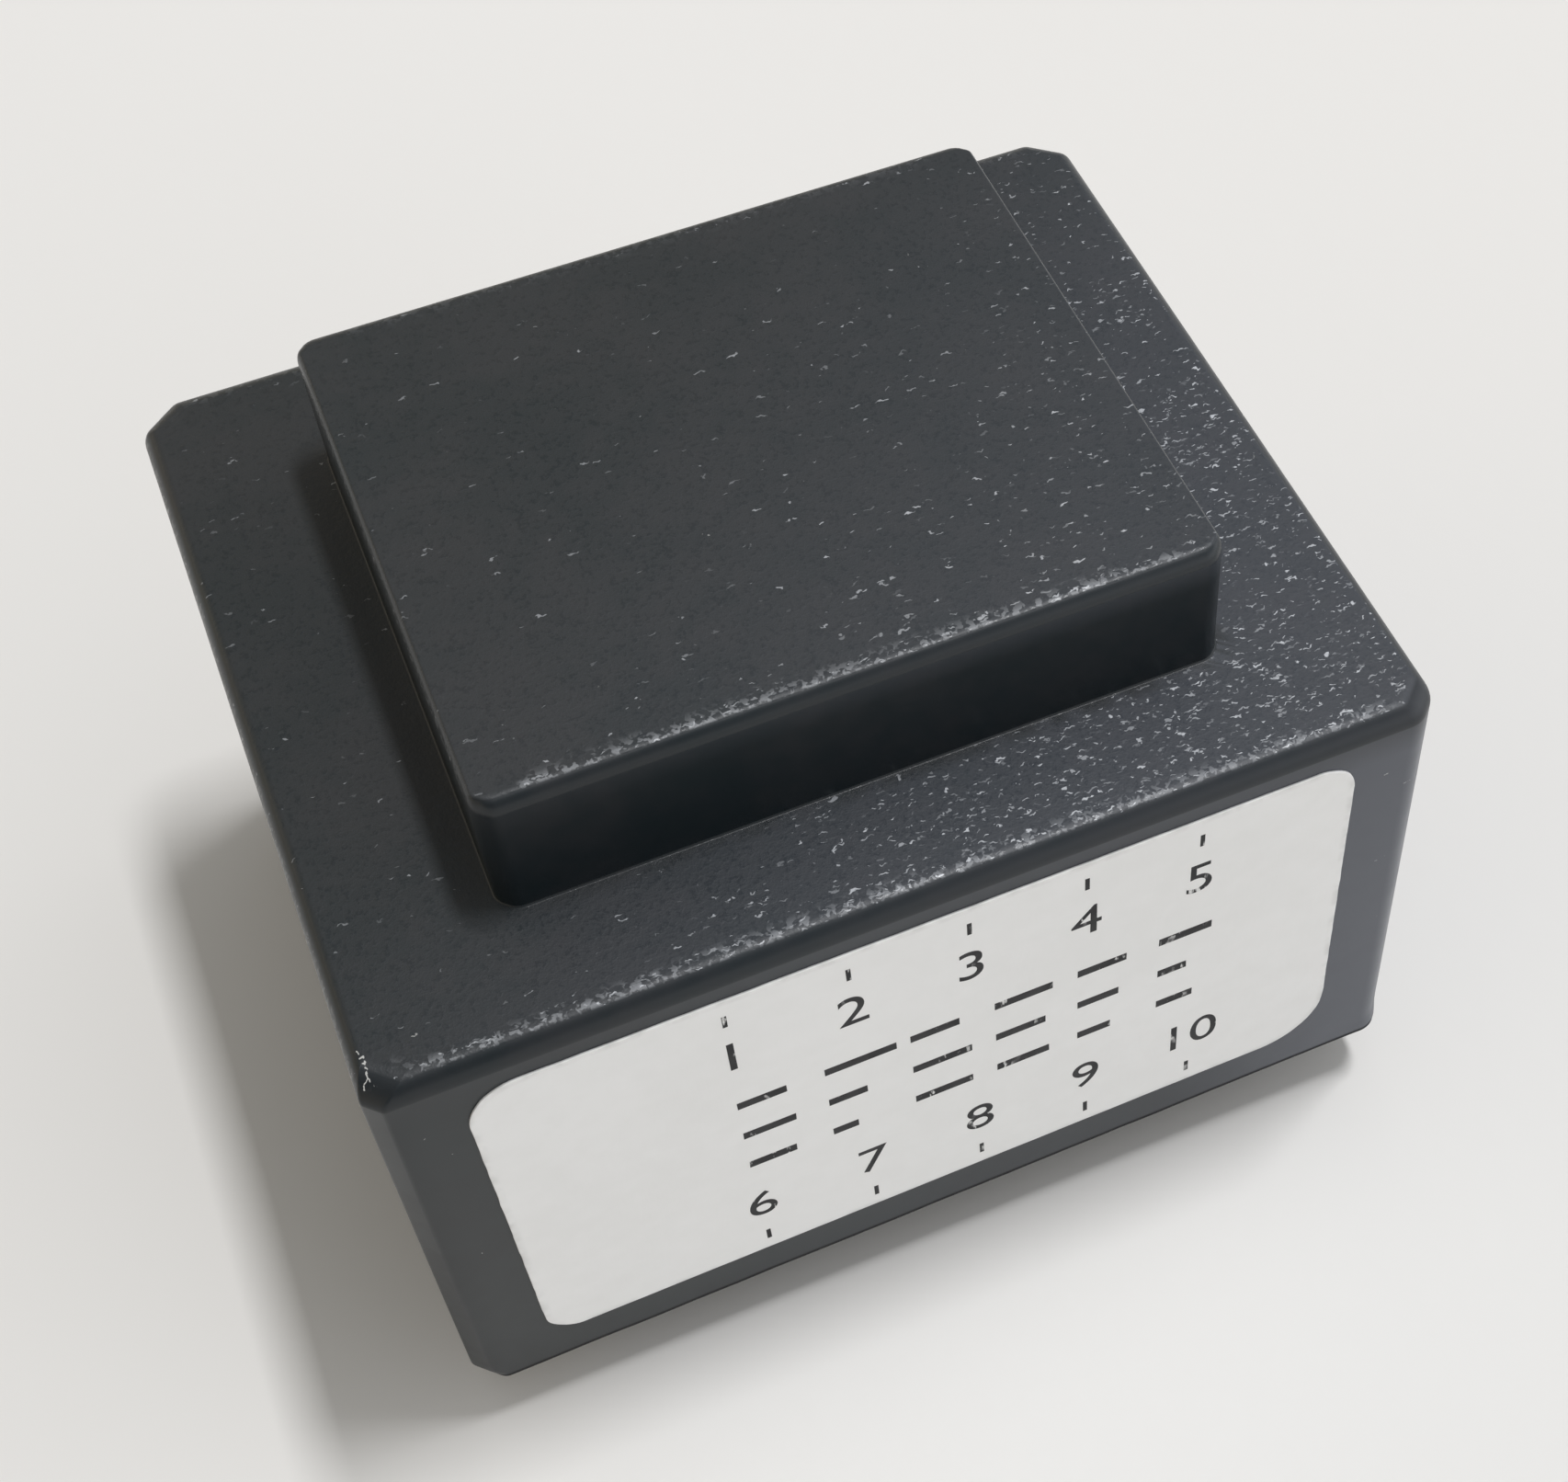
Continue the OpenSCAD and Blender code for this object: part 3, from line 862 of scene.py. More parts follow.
@dataclass(frozen=True)
class Outline:
    """A rectangle about the origin with a cut of its own at each corner.

    The cuts go round from the right back to the right front, the left front and the left back.
    """

    half_x: float
    half_y: float
    cuts: tuple[CornerCut, CornerCut, CornerCut, CornerCut]
    arc_steps: int = 6
    long_steps: int = 44
    short_steps: int = 36

    def _quarter(self, cut: CornerCut, inset: float) -> list[tuple[float, float]]:
        """The corner's points in the first quadrant.

        Args:
            cut: the corner's cut.
            inset: how far inside the outline the points lie.

        Returns:
            The points, from the back side to the right side.
        """
        turn = math.atan2(cut.along, cut.across)
        normal_x, normal_y = math.cos(turn), math.sin(turn)
        deep = max(cut.blend, inset)
        radius = deep - inset
        top, side = self.half_y - deep, self.half_x - deep
        reach = normal_x * (self.half_x - cut.along) + normal_y * self.half_y - deep
        first = ((reach - normal_y * top) / normal_x, top)
        last = (side, (reach - normal_x * side) / normal_y)
        if first[0] > last[0]:
            first = last = (side, top)
        points = []
        for centre, start, end in ((first, math.pi / 2, turn), (last, turn, 0.0)):
            for step in range(self.arc_steps + 1):
                angle = blend(start, end, step / self.arc_steps)
                x, y = radius * math.cos(angle), radius * math.sin(angle)
                points.append((centre[0] + x, centre[1] + y))
        return points

    def ring(self, inset: float, height: float) -> Ring:
        """One level ring of the outline, moved in by an inset.

        Args:
            inset: how far inside the outline the ring lies.
            height: its height above the rim.

        Returns:
            The ring's points, seen from above clockwise.
        """
        signs = ((1, 1), (1, -1), (-1, -1), (-1, 1))
        corners = []
        for number, (cut, (x_sign, y_sign)) in enumerate(zip(self.cuts, signs)):
            quarter = [(x * x_sign, y * y_sign) for x, y in self._quarter(cut, inset)]
            corners.append(quarter if number % 2 == 0 else quarter[::-1])
        ring: Ring = []
        for number, corner in enumerate(corners):
            ring += [(x, y, height) for x, y in corner]
            following = corners[(number + 1) % 4]
            steps = self.short_steps if number % 2 == 0 else self.long_steps
            ring += [(x, y, height) for x, y in straight(corner[-1], following[0], steps)]
        return ring


def between(first: Ring, last: Ring, part: float) -> Ring:
    """The ring that lies a part of the way from one ring to another."""
    return [tuple(blend(a, b, part) for a, b in zip(p, q)) for p, q in zip(first, last)]


@dataclass
class Housing:
    """The moulded housing: walls, a flat top with a rounded edge, and the dome over the coil."""

    effects: Effects
    flat_height: float = 24.9
    edge_radius: float = 0.88
    dome_half_x: float = 15.0
    dome_half_y: float = 12.9
    dome_edge_radius: float = 0.62
    foot_radius: float = 0.13
    wall: float = 0.85
    roof: float = 1.0
    rim_radius: float = 0.10
    # upright corners: the right one and the left one are at the front
    back_cut: CornerCut = CornerCut(1.65, 1.4, 0.85)
    right_cut: CornerCut = CornerCut(0.97, 0.97, 1.15)
    left_cut: CornerCut = CornerCut(0.70, 0.70, 0.32)
    right_crest_cut: CornerCut = CornerCut(1.35, 1.35, 1.0)
    left_crest_cut: CornerCut = CornerCut(1.55, 1.55, 0.5)
    left_foot_cut: CornerCut = CornerCut(1.15, 1.15, 0.6)
    dome_cut: CornerCut = CornerCut(0.62, 0.62, 0.80)
    hollow_cut: CornerCut = CornerCut(0.5, 0.5, 0.6)
    # how much narrower the rounded edge is along a side
    right_squeeze: float = 0.10
    left_squeeze: float = 0.25
    dome_squeeze: float = 0.60
    squeeze_starts: float = 2.0
    squeeze_ends: float = 0.2
    # how strong the painted highlight along the edges is
    rub_width: float = 0.75
    flat_rub: float = 0.75
    side_rub: float = 0.4
    back_rub: float = 0.15
    # how strong the painted sheen is
    top_haze: float = 0.30
    dome_clears: float = 0.32
    front_haze: float = 0.16
    right_haze: float = 0.52
    fillet_haze: float = 0.3
    # painted shade: a painted contact shadow at the foot, and a darkened facet along the left front corner
    foot_grime: float = 0.9
    corner_grime: float = 0.09
    # how far the mould is off its true shape
    warp: float = 0.035
    coarse_wave: float = 0.05
    fine_wave: float = 0.035
    corner_lip: float = 0.10
    # rings of the skin
    fillet_steps: int = 14
    crease: float = 5.0
    seam: float = 0.03
    dome_flat_steps: int = 14
    dome_wall_steps: int = 5
    flat_steps: int = 16
    wall_steps: int = 14
    wall_foot: float = 1.6
    foot_heights: tuple[float, ...] = (1.1, 0.9, 0.7, 0.5, 0.4, 0.31, 0.24, 0.17)
    hollow_heights: tuple[float, ...] = (0.5, 2.0, 8.0, 16.0)
    # a forked scratch at the left front corner, then nicks along both ends of the front
    scratches: tuple[Scratch, ...] = (
        Scratch((-21.49, -16.31, 24.87), (0.19, -0.55, 0.02), 0.09),
        Scratch((-21.30, -16.86, 24.89), (-0.15, -0.63, -0.13), 0.10),
        Scratch((-21.45, -17.49, 24.76), (-0.29, -0.22, -0.18), 0.11),
        Scratch((-21.45, -17.49, 24.76), (0.20, -0.40, -0.08), 0.11),
        Scratch((19.9, -18.7, 14.9), (0.65, 0.0, 0.12), 0.06),
        Scratch((19.6, -18.7, 21.3), (0.18, 0.0, 0.05), 0.10),
        Scratch((20.6, -18.7, 20.1), (0.42, 0.0, 0.0), 0.05),
        Scratch((20.4, -18.7, 10.2), (0.12, 0.0, 0.3), 0.07),
        Scratch((-20.4, -18.7, 21.2), (0.12, 0.0, 0.12), 0.08),
        Scratch((-19.6, -18.7, 19.6), (0.2, 0.0, -0.05), 0.06),
        Scratch((-19.9, -18.7, 11.4), (0.1, 0.0, 0.1), 0.07),
    )

    def __post_init__(self) -> None:
        """Reads the housing's box and draws its outlines."""
        _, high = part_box("housing")
        self.half_x = high.x / MM
        self.half_y = high.y / MM
        self.top = high.z / MM
        self.outer = self._walls(self.right_cut, self.left_cut)
        self.crest = self._walls(self.right_crest_cut, self.left_crest_cut)
        self.foot = self._walls(self.right_cut, self.left_foot_cut)
        self.dome = Outline(self.dome_half_x, self.dome_half_y, (self.dome_cut,) * 4)
        self.hollow = self._hollow(self.half_x, self.half_y)
        self.dome_hollow = self._hollow(self.dome_half_x, self.dome_half_y)

    def _walls(self, right: CornerCut, left: CornerCut) -> Outline:
        """The walls' outline, whose two front corners are cut as given."""
        return Outline(self.half_x, self.half_y, (self.back_cut, right, left, self.back_cut))

    def _hollow(self, half_x: float, half_y: float) -> Outline:
        """The outline of the hollow inside walls."""
        return Outline(half_x - self.wall, half_y - self.wall, (self.hollow_cut,) * 4)

    def _level(
        self, outline: Outline, crest: Outline, part: float, inset: float, height: float
    ) -> Ring:
        """One ring of a rounded edge, which is narrower along the two short sides.

        Args:
            outline: the walls' outline.
            crest: the outline that the flat above them follows.
            part: how far down the edge the ring lies, from 0 to 1.
            inset: how far inside the outline it lies.
            height: its height above the rim.

        Returns:
            The ring.
        """
        down = ease(0.0, 1.0, part)
        outer = between(crest.ring(0.0, height), outline.ring(0.0, height), down)
        inner = between(crest.ring(inset, height), outline.ring(inset, height), down)
        left, right = self.left_squeeze, self.right_squeeze
        if outline is self.dome:
            left = right = self.dome_squeeze
        starts, ends = outline.half_x - self.squeeze_starts, outline.half_x - self.squeeze_ends
        ring: Ring = []
        for (wall_x, _, _), (x, y, z) in zip(outer, inner):
            squeeze = right * ease(starts, ends, wall_x)
            squeeze += left * ease(starts, ends, -wall_x)
            ring.append((blend(x, wall_x, squeeze), y, z))
        return ring

    def _front_rub(self, outline: Outline, point: Point) -> float:
        """How strong the painted highlight is at a place by the flat's edge: along the front, and a little
        at the back.
        """
        x, y, _ = point
        ends = ease(outline.half_y - 2.3, outline.half_y - 1.8, abs(y))
        middle = 1.0 - ease(outline.half_x - 2.2, outline.half_x - 1.8, abs(x))
        return ends * middle * (1.0 if y < 0.0 else self.back_rub)

    def _rounded_edge(
        self, loft: Loft, outline: Outline, crest: Outline, top: float, radius: float
    ) -> None:
        """Adds the rings of a rounded top edge, from the flat down to a faint crease at the wall.

        Args:
            loft: the skin that takes the rings.
            outline: the walls' outline.
            crest: the outline that the flat above them follows.
            top: the flat's height.
            radius: the edge's radius.
        """
        last = math.radians(90.0 - self.crease)
        parts = [step / self.fillet_steps for step in range(self.fillet_steps)] + [0.975, 1.0]
        for part in parts:
            slope = last * part
            degrees = math.degrees(slope)
            inset = radius * (1.0 - math.sin(slope) / math.sin(last))
            drop = radius * (1.0 - math.cos(slope)) / (1.0 - math.cos(last))
            ring = self._level(outline, crest, part, inset, top - drop)
            along = 1.0 - ease(16.0, 21.0, degrees)
            across = ease(40.0, 60.0, degrees)
            # the painted highlight along the edge: high on the round at the front, lower on the sides
            rubbed = []
            for point in ring:
                side = 1.0 - ease(outline.half_y - 1.4, outline.half_y - 0.9, abs(point[1]))
                side *= self.side_rub * across
                rubbed.append(along * self._front_rub(outline, point) + side)
            flat = 1.0 - ease(16.0, 22.0, degrees)
            # the painted sheen, weaker on the round
            haze = [self._haze(point) * blend(self.fillet_haze, 1.0, flat) for point in ring]
            loft.add(ring, flat=flat, edge=rubbed, haze=haze)
        loft.add(outline.ring(0.0, top - radius - self.seam), haze=self._hazed(ring))

    def _flat(self, loft: Loft, outline: Outline, inner: Ring, rim: Ring, steps: int) -> None:
        """Adds the rings of a flat, closer together near its rim.

        Args:
            loft: the skin that takes the rings.
            outline: the outline of the walls below the flat.
            inner: the ring where it starts.
            rim: the ring that it ends before.
            steps: how many rings it has.
        """
        for step in range(steps):
            ring = between(inner, rim, 1.0 - (1.0 - step / steps) ** 2)
            # the painted highlight close to the flat's edge
            rubbed = []
            for point, edge_point in zip(ring, rim):
                near = 1.0 - ease(0.0, self.rub_width, math.dist(point[:2], edge_point[:2]))
                rubbed.append(self.flat_rub * near * near * self._front_rub(outline, point))
            loft.add(ring, flat=1.0, edge=rubbed, haze=self._hazed(ring))

    def _haze(self, point: Point) -> float:
        """How strong the painted sheen is at a place: more towards the right front, less on the dome."""
        x, y, z = point
        if z > self.flat_height - self.edge_radius - 0.01:
            rise = self.top_haze * ease(-10.0, 22.0, 0.75 * x - 0.65 * y)
            return rise * (1.0 - self.dome_clears * ease(self.flat_height, self.top, z))
        level = self.front_haze * ease(-21.0, 12.0, x) + self.right_haze * ease(9.0, 20.5, x)
        return ease(-6.0, -18.0, y) * level

    def _hazed(self, ring: Ring) -> list[float]:
        """How strong the painted sheen is at each point of a ring."""
        return [self._haze(point) for point in ring]

    def _settle(self, point: Point) -> Point:
        """Moves a point off the true shape: a faint warp, a wavy rim and a lip at a lower corner."""
        x, y, z = point
        outside = 1.0 if max(abs(x) / self.half_x, abs(y) / self.half_y) > 0.975 else 0.0
        warp = self.warp * drift(point, 17.0, 3.1)
        low = 1.0 - ease(0.0, 1.4, z)
        coarse = self.coarse_wave * drift((x, y, 0.0), 3.2, 8.4)
        wavy = low * (coarse + self.fine_wave * drift((x, y, 0.0), 0.9, 1.7))
        lip = low * self.corner_lip * ease(20.0, 21.6, x) * ease(-17.4, -18.4, y) * outside
        push_x = math.copysign(lip, x) if abs(x) > 1.0 else 0.0
        high = ease(self.flat_height - 2.0, self.flat_height, z)
        sway = warp * 0.3 * (1 - high)
        return (x + push_x + sway, y - lip + sway, z + wavy + warp * 0.5 * high)

    def _add_dome(self, loft: Loft) -> None:
        """Adds the dome, from the middle of its flat down to the fillet at its foot."""
        rim = self._level(self.dome, self.dome, 0.0, self.dome_edge_radius, self.top)
        heart = [(x * 0.02, y * 0.02, self.top) for x, y, _ in rim]
        self._flat(loft, self.dome, heart, rim, self.dome_flat_steps)
        self._rounded_edge(loft, self.dome, self.dome, self.top, self.dome_edge_radius)
        wall_top, wall_end = self.top - self.dome_edge_radius, self.flat_height + self.foot_radius
        for (height,) in straight((wall_top,), (wall_end,), self.dome_wall_steps):
            loft.add(self.dome.ring(0.0, height), flat=0.0, haze=0.0)
        for step, (out, down) in enumerate(rounded(self.foot_radius, 4)):
            ring = self.dome.ring(-out, self.flat_height + down)
            loft.add(ring, flat=ease(0.5, 1.0, step / 4), haze=0.02)

    def _add_walls(self, loft: Loft) -> None:
        """Adds the flat round the dome, and the walls with their rounded edge and their rim."""
        dome_foot = self.dome.ring(-self.foot_radius, self.flat_height)
        shoulder = self._level(self.outer, self.crest, 0.0, self.edge_radius, self.flat_height)
        self._flat(loft, self.outer, dome_foot, shoulder, self.flat_steps)
        self._rounded_edge(loft, self.outer, self.crest, self.flat_height, self.edge_radius)
        wall_top = self.flat_height - self.edge_radius
        parts = [step / self.wall_steps for step in range(1, self.wall_steps + 1)]
        heights = [blend(wall_top, self.wall_foot, part) for part in parts]
        for height in (*heights, *self.foot_heights):
            foot, wall = self.foot.ring(0.0, height), self.outer.ring(0.0, height)
            ring = between(foot, wall, ease(0.0, 1.2, height))
            # painted shade: a painted contact shadow low on the walls, and a darkened facet at the left
            # front corner
            low = self.foot_grime * (1.0 - ease(0.22, 0.34, height))
            grime = [max(low, self.corner_grime * ease(-38.9, -39.5, x + y)) for x, y, _ in ring]
            loft.add(ring, haze=self._hazed(ring), grime=grime)
        # painted contact shadow on the rim
        for inset, height in rounded(self.rim_radius, 4):
            loft.add(self.foot.ring(inset, height), grime=self.foot_grime)

    def _add_inside(self, loft: Loft) -> None:
        """Adds the hollow, from the rim up to the middle of the dome's ceiling."""
        loft.add(self.hollow.ring(-0.1, 0.0))
        loft.add(self.hollow.ring(0.0, 0.1))
        under = self.flat_height - self.roof
        for height in (*self.hollow_heights, under):
            loft.add(self.hollow.ring(0.0, height))
        loft.add(self.dome_hollow.ring(0.0, under))
        ceiling = self.dome_hollow.ring(0.0, self.top - self.roof)
        loft.add(ceiling)
        loft.add([(x * 0.02, y * 0.02, z) for x, y, z in ceiling])

    def build(self) -> Piece:
        """Builds and dresses the housing.

        Returns:
            The piece.
        """
        loft = Loft()
        self._add_dome(loft)
        self._add_walls(loft)
        self._add_inside(loft)
        finish = HousingPlastic("housing_plastic", self.effects, scratches=self.scratches)
        piece = loft.build("housing_shell", finish.make(), self._settle)
        return mount(piece, "housing_plastic", "housing")


# ---------------------------------------------------------------- label


@dataclass
class Label:
    """The label on the front: a thin film with four uneven corners, and its plain print."""

    effects: Effects
    corner_radii: tuple[float, float, float, float] = (2.2, 1.7, 3.0, 1.7)
    edge_round: float = 0.03
    arc_steps: int = 12
    side_steps: int = 40
    soil_width: float = 0.35
    # the print: heights and shifts are from the label's middle
    digit_size: float = 2.9
    digit_pitch: float = 5.0
    digit_shift: float = 1.6
    digit_rows: tuple[float, float] = (6.2, -6.4)
    tick_shift: float = 1.5
    tick_rows: tuple[float, float] = (9.0, -9.2)
    tick_width: float = 0.2
    bars_at: tuple[float, float] = (-8.6, 2.4)
    ink_height: float = 0.012
    # how the label sits: a shift at mid height, and what is added to it at the top
    left_shift: tuple[float, float] = (-0.175, -0.115)
    right_shift: tuple[float, float] = (-0.215, -0.025)
    lift: tuple[float, float] = (-0.07, -0.10)
    ragged: float = 0.03

    def __post_init__(self) -> None:
        """Reads the label's box."""
        low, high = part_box("label")
        self.half_x = (high.x - low.x) / 2 / MM
        self.half_z = (high.z - low.z) / 2 / MM
        self.mid = Vector(((low.x + high.x) / 2 / MM, 0.0, (low.z + high.z) / 2 / MM))
        self.back = high.y / MM
        self.face = low.y / MM

    def _ring(self, inset: float, y: float) -> Ring:
        """One ring of the film's outline, moved in by an inset, at a depth y."""
        ring: Ring = []
        signs = ((-1, 1), (1, 1), (1, -1), (-1, -1))
        spots = []
        for number, (radius, (x_sign, z_sign)) in enumerate(zip(self.corner_radii, signs)):
            radius_in = max(radius - inset, 0.02)
            centre_x = x_sign * (self.half_x - inset - radius_in)
            centre_z = z_sign * (self.half_z - inset - radius_in)
            start = math.pi - number * math.pi / 2
            arc = []
            for step in range(self.arc_steps + 1):
                angle = start - math.pi / 2 * step / self.arc_steps
                x, z = radius_in * math.cos(angle), radius_in * math.sin(angle)
                arc.append((centre_x + x, centre_z + z))
            spots.append(arc)
        for number, arc in enumerate(spots):
            side = straight(arc[-1], spots[(number + 1) % 4][0], self.side_steps)
            ring += [(self.mid.x + x, y, self.mid.z + z) for x, z in (*arc, *side)]
        return ring

    def _askew(self, point: Point) -> Point:
        """Moves a point with the label, which was stuck on a little out of true."""
        x, y, z = point
        across, up = (x - self.mid.x) / self.half_x, (z - self.mid.z) / self.half_z
        left, right, lift = (
            level + slant * up for level, slant in (self.left_shift, self.right_shift, self.lift))
        shift = blend(left, right, (across + 1.0) / 2.0)
        ragged = self.ragged * drift((x, 0.0, z), 0.8, 2.9)
        return (x + shift + ragged * across, y, z + lift + ragged * up)

    def _film(self) -> Piece:
        """Builds the film."""
        loft = Loft()
        loft.add(self._ring(1.5, self.back), rim=0.0)
        loft.add(self._ring(0.0, self.back), rim=1.0)
        loft.add(self._ring(0.0, self.face + self.edge_round), rim=1.0)
        for inset, back in rounded(self.edge_round, 3)[1:]:
            loft.add(self._ring(inset, self.face + back), rim=1.0)
        loft.add(self._ring(0.12, self.face), rim=0.7)
        loft.add(self._ring(self.soil_width, self.face), rim=0.0)
        loft.add(self._ring(1.5, self.face), rim=0.0)
        piece = loft.build("label_film", LabelFilm("label_film", self.effects).make(), self._askew)
        return mount(piece, "label_film", "label")

    def _on_face(self, across: float, up: float) -> Matrix:
        """The matrix that lays flat print on the label, moved across and up from its middle."""
        spot = Vector((self.mid.x + across, self.face, self.mid.z + up)) * MM
        return Matrix.Translation(spot) @ Matrix.Rotation(math.pi / 2, 4, "X")

    def _digit(self, number: int) -> Mesh:
        """One number as a thin solid mesh, centred."""
        curve = bpy.data.curves.new(f"number_{number}", "FONT")
        curve.body = str(number)
        curve.size = self.digit_size * MM
        curve.align_x, curve.align_y = "CENTER", "CENTER"
        curve.extrude = self.ink_height / 2 * MM
        holder = new_piece(curve.name, curve)
        made = holder.evaluated_get(bpy.context.evaluated_depsgraph_get())
        mesh = bpy.data.meshes.new_from_object(made)
        bpy.data.objects.remove(holder)
        bpy.data.curves.remove(curve)
        return mesh

    def _print(self) -> Piece:
        """Builds the print: two rows of plain place numbers with ticks, and ruled bars between them."""
        ink = PrintInk("print_ink", self.effects).make()
        bars = RuledBars()
        parts = []
        for row, up in enumerate(self.digit_rows):
            for column in range(5):
                across = (column - 2) * self.digit_pitch + self.digit_shift
                parts.append((self._digit(1 + column + 5 * row), self._on_face(across, up)))
        for up in self.tick_rows:
            ticks = bars.make(
                rows=1, columns=5, row_pitch=1.0, column_pitch=self.digit_pitch, height=0.8,
                longest=self.tick_width, shortest=self.tick_width,
                thickness=self.ink_height, seed=1)
            parts.append((ticks, self._on_face(self.tick_shift - 2 * self.digit_pitch, up)))
        middle = bars.make(
            rows=3, columns=6, row_pitch=2.5, column_pitch=3.7, height=0.5,
            longest=3.1, shortest=1.0, thickness=self.ink_height, seed=5)
        parts.append((middle, self._on_face(*self.bars_at)))
        piece = join_meshes("label_print", parts, ink)
        for vert in piece.data.vertices:
            vert.co = Vector(self._askew(tuple(vert.co / MM))) * MM
        return mount(piece, "label_film")

    def build(self) -> None:
        """Builds the film and its print."""
        self._film()
        self._print()


class RuledBars:
    """Geometry Nodes that set bars in rows and columns, each of a length drawn between two bounds."""

    INPUTS = {
        "Rows": "NodeSocketInt", "Columns": "NodeSocketInt", "Row Pitch": "NodeSocketFloat",
        "Column Pitch": "NodeSocketFloat", "Height": "NodeSocketFloat", "Shortest": "NodeSocketFloat",
        "Longest": "NodeSocketFloat", "Thickness": "NodeSocketFloat", "Seed": "NodeSocketInt",
    }

    def __init__(self) -> None:
        """Builds the tree."""
        tree = bpy.data.node_groups.new("ruled_bars", "GeometryNodeTree")
        tree.interface.new_socket(name="Geometry", in_out="INPUT", socket_type="NodeSocketGeometry")
        for label, kind in self.INPUTS.items():
            tree.interface.new_socket(name=label, in_out="INPUT", socket_type=kind)
        tree.interface.new_socket(name="Geometry", in_out="OUTPUT", socket_type="NodeSocketGeometry")
        self.tree = tree
        wiring = Wiring(tree)
        given = wiring.add("NodeGroupInput").outputs
        down = wiring.add("ShaderNodeCombineXYZ", {"Y": wiring.times(given["Row Pitch"], -1.0)})
        right = wiring.add("ShaderNodeCombineXYZ", {"X": given["Column Pitch"]})
        rows = wiring.add("GeometryNodeMeshLine", {"Count": given["Rows"], "Offset": down.outputs[0]})
        columns = wiring.add("GeometryNodeMeshLine", {"Count": given["Columns"], "Offset": right.outputs[0]})
        grid = wiring.add("GeometryNodeInstanceOnPoints", {
            "Points": rows.outputs[0], "Instance": columns.outputs[0]})
        spots = wiring.add("GeometryNodeRealizeInstances", {0: grid.outputs[0]})
        draw = wiring.add("FunctionNodeRandomValue", {
            2: given["Shortest"], 3: given["Longest"], "Seed": given["Seed"]}, data_type="FLOAT")
        length = draw.outputs[1]
        half = wiring.add("ShaderNodeCombineXYZ", {"X": wiring.times(length, 0.5)})
        placed = wiring.add("GeometryNodeSetPosition", {
            "Geometry": spots.outputs[0], "Offset": half.outputs[0]})
        one = wiring.add("ShaderNodeCombineXYZ", {"X": 1.0, "Y": given["Height"], "Z": given["Thickness"]})
        bar = wiring.add("GeometryNodeMeshCube", {"Size": one.outputs[0]})
        size = wiring.add("ShaderNodeCombineXYZ", {"X": length, "Y": 1.0, "Z": 1.0})
        bars = wiring.add("GeometryNodeInstanceOnPoints", {
            "Points": placed.outputs[0], "Instance": bar.outputs[0], "Scale": size.outputs[0]})
        solid = wiring.add("GeometryNodeRealizeInstances", {0: bars.outputs[0]})
        inked = wiring.add("GeometryNodeSetMaterial", {"Geometry": solid.outputs[0]})
        result = wiring.add("NodeGroupOutput")
        wiring.feed(result.inputs[0], inked.outputs[0])

    def make(self, **sizes: float) -> Mesh:
        """Runs the tree with sizes in millimetres.

        Args:
            sizes: a value for each of the tree's inputs, by its name in lower case.

        Returns:
            A plain mesh, which starts at the origin and runs right and down.
        """
        holder = new_piece("bars", bpy.data.meshes.new("bars"))
        modifier = holder.modifiers.new("bars", "NODES")
        modifier.node_group = self.tree
        for item in self.tree.interface.items_tree:
            if item.in_out == "INPUT" and item.name in self.INPUTS:
                value = sizes[item.name.lower().replace(" ", "_")]
                whole = self.INPUTS[item.name] == "NodeSocketInt"
                modifier[item.identifier] = int(value) if whole else value * MM
        made = holder.evaluated_get(bpy.context.evaluated_depsgraph_get())
        mesh = bpy.data.meshes.new_from_object(made)
        bpy.data.objects.remove(holder)
        return mesh


# ---------------------------------------------------------------- resin


